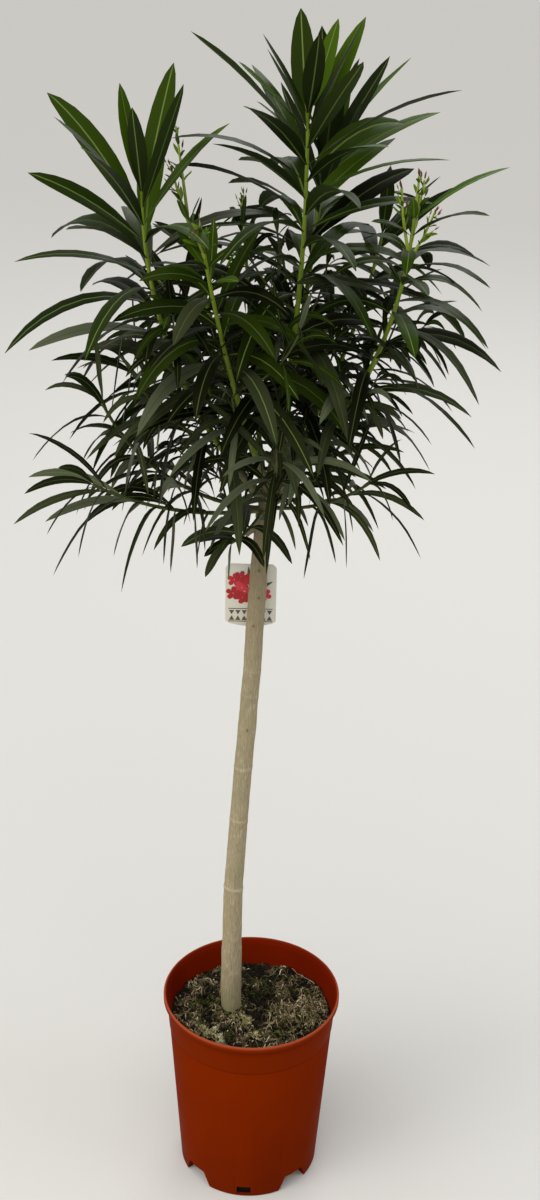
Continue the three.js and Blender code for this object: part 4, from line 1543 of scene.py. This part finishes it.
# %% Bend the leaf to its place
def leaf_slots(leaf):
    """Which finish each face of a leaf takes."""
    height, draw = leaf["root"].z, chance(*leaf["keys"], 11)
    rib_draw, below_draw = chance(*leaf["keys"], 12), chance(*leaf["keys"], 13)
    if leaf["fresh"] > 0.25:
        top = FIRST_YOUNG + (1 if leaf["fresh"] + 0.4 * draw > 0.9 else 0)
        rib, below = 2, 2
    # Low in the head most leaves take the dull greens, with the darkest midrib and underside: painted
    # shade and painted sheen over the older leaves' own grey green.
    elif chance(*leaf["keys"], 14) > smooth(height, 960, 1240):
        top = len(BLADE_GREENS) + int(draw * len(DULL_SHADE_SHEEN_GREENS))
        rib, below = int(rib_draw * 1.2), 0
    else:
        # Painted light: leaves higher in the head take brighter greens and paler midribs.
        light = 0.46 * draw + 0.54 * smooth(height, 920, 1270)
        top = min(len(BLADE_GREENS) - 1, int(light * len(BLADE_GREENS)))
        rib, below = int(rib_draw + smooth(height, 930, 1230)), int(below_draw * 2)
    return np.choose(leaf_kinds, [top, FIRST_RIB + rib, FIRST_BELOW + below]).tolist()


def leaf_shape(leaf):
    """The flat leaf's points, bent to a leaf's place."""
    twist = swing(0.45, *leaf["keys"], 6)
    curve = swing(0.05, *leaf["keys"], 7) * leaf["length"]
    ripple, phase = 0.5 + chance(*leaf["keys"], 8), 6 * chance(*leaf["keys"], 9)
    fold = 0.5 + 1.1 * chance(*leaf["keys"], 10)
    places = leaf_template[:, 1]
    middle, side, top = leaf_frames(leaf, places, twist)
    half = leaf["width"] / 2
    across = leaf_template[:, 0] * half + curve * places**2
    lift = leaf_template[:, 2] * (0.5 + 0.05 * half)
    lift = lift + fold * 0.09 * half * np.abs(leaf_template[:, 0])
    lift = lift + ripple * 0.4 * np.abs(leaf_template[:, 0]) * np.sin(9 * places + phase)
    return middle + side * across[:, None] + top * lift[:, None]


def leaf_piece(name, chosen, nodes):
    heap = Heap()
    for leaf in chosen:
        heap.add(leaf_shape(leaf), leaf_faces, leaf_slots(leaf))
    piece = heap.piece(name, leaf_finishes)
    smooth_by_angle(piece, 62)
    hand_over(piece, nodes)
    return piece


FIRST_LOW = 7  # the leaves of the first seven shoots make one piece, and those of the rest another
for name, first, last in (("leaves_tall", 0, FIRST_LOW), ("leaves_low", FIRST_LOW, len(SHOOTS))):
    nodes = ["foliage_" + SHOOTS[i][0] for i in range(first, last)]
    leaf_piece(name, [leaf for leaf in leaves if first <= leaf["shoot"] < last], nodes)
leaf_piece("leaves_inner", [leaf for leaf in leaves if leaf["shoot"] >= len(shoots)], ())

# %% [markdown]
# ## Flower buds
# Four shoots are about to flower. Thin stalks stand on each tip and just below it, and fork on their
# way up. At every fork stand two small pale leaves, and high up a branch too. Stalks and branches end
# in pointed buds, most of them reddish. One bud is shaped from a ball, and copied.

# %% Buds on branching stalks
BUD = {"length": (6, 10), "radius": 1.05}
STALK_RADII, BRANCH_RADII = (1.9, 1.0), (0.7, 0.45)
STALK_POINTS = 6
bud_heap, stalk_heap, small_leaves = Heap(), Heap(), []


def model_bud():
    points, faces = primitive_arrays(
        bpy.ops.mesh.primitive_uv_sphere_add, segments=7, ring_count=6, radius=1
    )
    height = (points[:, 2] + 1) / 2
    girth = np.sin(np.pi * height**0.8) * (1 - 0.35 * height)
    level = np.maximum(np.hypot(points[:, 0], points[:, 1]), 1e-6)
    points[:, :2] *= (girth / level)[:, None] * (level > 1e-4)[:, None]
    points[:, 2] = height
    return points, faces


bud_template, bud_faces = model_bud()
print("one bud has", len(bud_template), "points")


def bud_at(root, way, length, key):
    turn = np.array(way.to_track_quat("Z", "Y").to_matrix())
    radius = BUD["radius"] * (0.85 + 0.3 * chance(key, 3)) * length / 9
    return (bud_template * (radius, radius, length)) @ turn.T + np.array(root)


def thin_stalk(root, way, bend, length, radii):
    """Adds a thin round stalk that starts one way and ends another, and gives its line."""
    line = [Vector(root)]
    for share in np.linspace(0, 1, STALK_POINTS)[1:]:
        line.append(line[-1] + way.lerp(bend, share).normalized() * length / (STALK_POINTS - 1))
    line = np.array(line)
    stalk_heap.add(*tube(line, *ring_frames(line), np.linspace(*radii, STALK_POINTS), 5), 0)
    return line


def bunch(root, way, count, key):
    """A few buds that spread from one point."""
    aside = way.orthogonal().normalized()
    for i in range(count):
        axis = turned(aside, way, GOLDEN_ANGLE * i)
        lean = turned(way, axis, 10 + 24 * chance(key, i, 1) if i else 4)
        length = lerp(*BUD["length"], chance(key, i, 2))
        slot = int(4 * chance(key, i, 4))
        bud_heap.add(bud_at(root + lean * 0.6, lean, length, key * 31 + i), bud_faces, slot)


def small_leaf(root, stem_way, axis, aside, length, keys):
    way = turned(stem_way, axis, aside)
    face = (stem_way - way * stem_way.dot(way)).normalized()
    small_leaves.append({
        "root": root, "way": way, "face": face, "keys": keys, "shoot": keys[0],
        "length": length, "width": 0.2 * length + 1, "sag": 0.4, "fresh": 0.9,
    })


# %% Grow the stalks
STALKS = [  # shoot, how far below its tip, length, lean from the shoot, turn about it
    (2, 0, 13, 4, 0), (2, 12, 22, 15, 150), (3, 0, 84, 4, 0), (3, 10, 58, 13, 210),
    (4, 0, 30, 5, 40), (4, 30, 56, 15, 165), (4, 42, 62, 23, 290), (4, 50, 56, 27, 60),
    (6, 0, 30, 4, 0), (6, 14, 36, 18, 140),
]
STALK_SUNK = 3
FORK = {"apart": 22, "span": (0.3, 0.98), "branching": 0.55, "branch": (18, 8), "leaf": (26, 9)}


def grow_fork(number, i, fork, lean, share):
    """A fork of a stalk: high up a branch with buds, and everywhere two small leaves."""
    axis = turned(lean.orthogonal().normalized(), lean, GOLDEN_ANGLE * i + 40 * number)
    if share > FORK["branching"]:
        bend = turned(lean, axis, 18)
        length = lerp(*FORK["branch"], share) * (0.8 + 0.4 * chance(number, i, 91))
        branch = thin_stalk(fork, turned(lean, axis, 46), bend, length, BRANCH_RADII)
        bunch(Vector(branch[-1]), bend, 1 + round(chance(number, i, 92)), 700 + number * 9 + i)
    for mirror in (-1, 1):
        length = lerp(*FORK["leaf"], share) * (0.6 + 0.6 * chance(number, i, 93 + mirror))
        small_leaf(fork, lean, axis, 34 * mirror + 8, length, (number, 40 + i, mirror + 1, 7))


def grow_stalk(number, index, below_tip, reach, lean_by, turn):
    shoot = shoots[index]
    share = 1 - below_tip / shoot.length
    top, rise = shoot.point(share), shoot.along(share)
    lean = turned(rise, turned(shoot.across(share), rise, turn), lean_by)
    foot, bend = top - rise * STALK_SUNK, rise.lerp(lean, 0.5)
    line = thin_stalk(foot, lean, bend, reach + STALK_SUNK, STALK_RADII)
    bunch(Vector(line[-1]), lean, 3, 500 + number)
    forks = 1 + round(reach / FORK["apart"])
    for i in range(forks):
        share = lerp(*FORK["span"], (i + 0.5) / forks)
        fork = [float(np.interp(share, np.linspace(0, 1, len(line)), line[:, k])) for k in range(3)]
        grow_fork(number, i, Vector(fork), lean, share)


for number, stalk in enumerate(STALKS):
    grow_stalk(number, *stalk)

stalks = stalk_heap.piece("flower_stalks", [plain_finish("stalk_green", (0.28, 0.36, 0.04), 0.5)])
smooth_by_angle(stalks, 60)
hand_over(stalks)
buds = bud_heap.piece("flower_buds", [
    plain_finish("bud_red", (0.11, 0.02, 0.01), 0.5),
    plain_finish("bud_brown", (0.075, 0.035, 0.012), 0.5),
    plain_finish("bud_rose", (0.2, 0.06, 0.025), 0.5),
    plain_finish("bud_green", (0.16, 0.2, 0.03), 0.5),
])
smooth_by_angle(buds, 60)
hand_over(buds)
leaf_piece("leaves_small", small_leaves, ())

# %% [markdown]
# ## The care label
# A card hangs behind the stem on a strap, and the strap's loop sits above the stub. Card and prints are
# flat shapes: an outline becomes a filled curve with a little thickness, and then a mesh. The card
# shows a plain bunch of red blossom with leaves, and a band of plain triangles. It carries no words.

# %% Flat shapes
LABEL = {
    "width": 55, "height": 74, "thick": 1, "centre": -9, "foot": 731, "face": 18.5,
    "corner": 7, "bulge": 4, "strap_width": 6, "loop_low": 866.5, "loop_high": 871.5,
    "loop_wall": 1, "loop_radius": 8.6,
}


def flat_plate(name, outlines, depth, thick, finish):
    """Closed outlines of (across, height) in millimetres, as plates in an upright plane."""
    curve = bpy.data.curves.new(name, "CURVE")
    curve.dimensions = "2D"
    curve.fill_mode = "BOTH"
    curve.extrude = thick / 2 * MM
    for outline in outlines:
        spline = curve.splines.new("POLY")
        spline.points.add(len(outline) - 1)
        for point, (x, z) in zip(spline.points, outline):
            point.co = (x * MM, z * MM, 0, 1)
        spline.use_cyclic_u = True
    plate = bpy.data.objects.new(name, curve)
    bpy.context.scene.collection.objects.link(plate)
    activate(plate)
    bpy.ops.object.convert(target="MESH")
    plate = bpy.context.object
    plate.rotation_euler.x = math.pi / 2
    plate.location = (0, depth * MM, 0)
    apply_place(plate)
    with editing():
        bpy.ops.mesh.remove_doubles(threshold=1e-6)
    plate.data.materials.clear()
    plate.data.materials.append(finish)
    return plate


def arc(x, z, radius, first, last, steps):
    turns = np.radians(np.linspace(first, last, steps))
    return [(x + radius * math.cos(a), z + radius * math.sin(a)) for a in turns]


def card_outline():
    """A plate with round upper corners and a foot that bulges down and curls up at both ends."""
    half, corner, bulge = LABEL["width"] / 2, LABEL["corner"], LABEL["bulge"]
    low, high = LABEL["foot"], LABEL["foot"] + LABEL["height"]
    foot = []
    for share in np.linspace(-1, 1, 17):
        rounded = 1 - (1 - (1 - abs(share)) * 6) ** 2 * 0.5 if abs(share) > 0.834 else 1
        sink = bulge * (1.2 * (1 - share * share) + 0.9 * (rounded - 1))
        foot.append((LABEL["centre"] + share * half, low + bulge - sink))
    right = arc(LABEL["centre"] + half - corner, high - corner, corner, 0, 90, 8)
    left = arc(LABEL["centre"] - half + corner, high - corner, corner, 90, 180, 8)
    return foot + right + left


card_finish = Finish("cream_card", (0.66, 0.64, 0.54), 0.45)
card_finish.coat((0.55, 0.5, 0.38), card_finish.mask(40, 0.45, 0.8), 0.4)
card_middle = LABEL["face"] + LABEL["thick"] / 2
card = flat_plate("label_card", [card_outline()], card_middle, LABEL["thick"], card_finish.material)
bevel = card.modifiers.new("edge", "BEVEL")
bevel.width = 0.15 * MM
bevel.segments = 2
apply_modifiers(card)
smooth_by_angle(card, 40)
hand_over(card, ["care_label"])

# %% The label's print
PRINT = {"depth": LABEL["face"] - 0.06, "layer": 0.03, "thick": 0.12}
RED_TONES = [(0.52, 0.008, 0.018), (0.62, 0.03, 0.05), (0.4, 0.004, 0.01)]
GREEN_TONES = [(0.02, 0.075, 0.025), (0.03, 0.105, 0.025)]
BLOSSOMS = [  # across, height, size, turn
    (-27, 786, 8.2, 10), (-19, 777, 9.0, 50), (-28, 770, 8.6, 84), (-12, 786, 8.4, 20),
    (-9, 771, 8.8, 64), (-18, 765, 8.0, 34), (1, 780, 8.4, 5), (6, 769, 8.0, 48),
    (-20, 790, 7.4, 70), (-3, 764, 7.0, 22),
]
PETALS, PETAL_SHARE = 5, 0.92
PRINTED_LEAVES = [  # length, turn
    (30, 62), (31, 96), (29, 128), (27, 28), (22, 200), (21, -14), (17, 236),
]
LEAVES_FROM, PRINTED_WIDTH = (-9, 772), 5


def placed(outline, x, z, turn):
    """An outline of (out, aside), turned and put at a spot."""
    ahead, over = math.cos(math.radians(turn)), math.sin(math.radians(turn))
    return [(x + out * ahead - aside * over, z + out * over + aside * ahead) for out, aside in outline]


def petal(size):
    """A rounded petal that is wider at its tip."""
    outline = []
    for turn in np.linspace(0, math.tau, 13)[:-1]:
        out = size * (0.55 - 0.5 * math.cos(turn))
        outline.append((out, size * 0.34 * math.sin(turn) * (1 - 0.35 * math.cos(turn))))
    return outline


def printed_leaf(length, width):
    """A pointed leaf: out along one side, and back along the other."""
    out = [(share * length, width / 2 * math.sin(math.pi * share)) for share in np.linspace(0, 1, 7)]
    return out + [(along, -aside) for along, aside in out[-2:0:-1]]


def print_plate(outlines, layer, finish):
    depth = PRINT["depth"] - PRINT["layer"] * layer
    return flat_plate("print", outlines, depth, PRINT["thick"], finish)


def print_piece(name, plates):
    """Joins printed plates into one piece, and each keeps its own finish."""
    clear_selection()
    for plate in plates:
        plate.select_set(True)
    bpy.context.view_layer.objects.active = plates[0]
    if len(plates) > 1:
        bpy.ops.object.join()
    plates[0].name = name
    hand_over(plates[0])


def print_finishes(name, tones):
    return [plain_finish(f"{name}_{i}", tone, 0.5) for i, tone in enumerate(tones)]


greens = print_finishes("print_green", GREEN_TONES)
leaf_plates = []
for number, (length, turn) in enumerate(PRINTED_LEAVES):
    outline = placed(printed_leaf(length, PRINTED_WIDTH), *LEAVES_FROM, turn)
    leaf_plates.append(print_plate([outline], 0.3 * number, greens[number % len(greens)]))
print_piece("print_leaves", leaf_plates)

reds = print_finishes("print_red", RED_TONES)
petal_plates = []
for number, (x, z, size, turn) in enumerate(BLOSSOMS):
    for i in range(PETALS):
        outline = placed(petal(PETAL_SHARE * size), x, z, turn + 360 / PETALS * i)
        petal_plates.append(print_plate([outline], 3 + number + 0.18 * i, reds[number % len(reds)]))
print_piece("print_blossom", petal_plates)

# %% The label's band
BAND = {"low": 735.5, "high": 751, "teeth": 7, "inset": 3.5, "rule": 0.9, "fill": 0.42}


def band_outlines():
    """Two thin rules, and between them a row of triangles on each."""
    half = LABEL["width"] / 2 - BAND["inset"]
    left, right = LABEL["centre"] - half, LABEL["centre"] + half
    pitch = 2 * half / BAND["teeth"]
    low, high = BAND["low"] + 2, BAND["high"] - 1.4
    outlines = []
    for z in (BAND["low"] + 0.2, BAND["high"]):
        outlines.append([(left, z), (right, z), (right, z + BAND["rule"]), (left, z + BAND["rule"])])
    for tooth in range(BAND["teeth"]):
        x = left + pitch * (tooth + 0.5)
        before, after = x - BAND["fill"] * pitch, x + BAND["fill"] * pitch
        outlines.append([(before, low), (after, low), (x, low + 5.5)])
        outlines.append([(before, high), (x, high - 5.2), (after, high)])
    return outlines


band_ink = plain_finish("print_ink", (0.09, 0.075, 0.06), 0.6)
print_piece("print_band", [print_plate(band_outlines(), 1, band_ink)])

# %% Strap and loop
STRAP = {"points": 9, "sides": 12, "bow": 1.2, "thinner": 6}
LOOP_POINTS = 40


def strap_tube():
    """From the card up to the loop: a round tube pressed flat."""
    ring, points, sides = stem_at(LABEL["loop_high"]), STRAP["points"], STRAP["sides"]
    steps = np.linspace(0, 1, points)
    foot = np.array((ring.x - 2, LABEL["face"] + 0.5, LABEL["foot"] + LABEL["height"] - 4))
    head = np.array((ring.x, ring.y + LABEL["loop_radius"] - 0.5, LABEL["loop_low"] + 2))
    line = np.outer(1 - steps, foot) + np.outer(steps, head)
    line[:, 1] += STRAP["bow"] * np.sin(math.pi * steps)
    across = np.tile([1.0, 0, 0], (points, 1))
    along = np.gradient(line, axis=0)
    along /= np.linalg.norm(along, axis=1)[:, None]
    angles = np.arange(sides) * math.tau / sides
    pressed = np.maximum(np.abs(np.cos(angles)), np.abs(np.sin(angles)) * STRAP["thinner"])
    radii = np.tile(LABEL["strap_width"] / 2 / pressed, (points, 1))
    return tube(line, across, np.cross(across, along), radii, sides)


def loop_band():
    """A band round the stem: an outer and an inner wall between four circles."""
    ring, wall = stem_at(LABEL["loop_high"]), LABEL["loop_wall"]
    low, high = LABEL["loop_low"], LABEL["loop_high"]
    turns = np.linspace(0, math.tau, LOOP_POINTS + 1)[:-1]
    circle = np.stack([np.cos(turns), np.sin(turns), 0 * turns], 1)
    circles = [
        circle * (LABEL["loop_radius"] - inward) + (ring.x, ring.y, height)
        for inward, height in ((0, low), (0, high), (wall, high), (wall, low))
    ]
    faces = []
    for i in range(4):
        for j in range(LOOP_POINTS):
            here, after, following = i * LOOP_POINTS, (i + 1) % 4 * LOOP_POINTS, (j + 1) % LOOP_POINTS
            faces.append((here + j, here + following, after + following, after + j))
    return np.concatenate(circles), faces


def make_strap():
    heap = Heap()
    heap.add(*strap_tube(), 0)
    heap.add(*loop_band(), 1)
    loop_finish = plain_finish("loop_green", (0.03, 0.045, 0.02), 0.5)
    return heap.piece("label_strap", [card_finish.material, loop_finish])


strap = make_strap()
smooth_by_angle(strap, 40)
hand_over(strap)
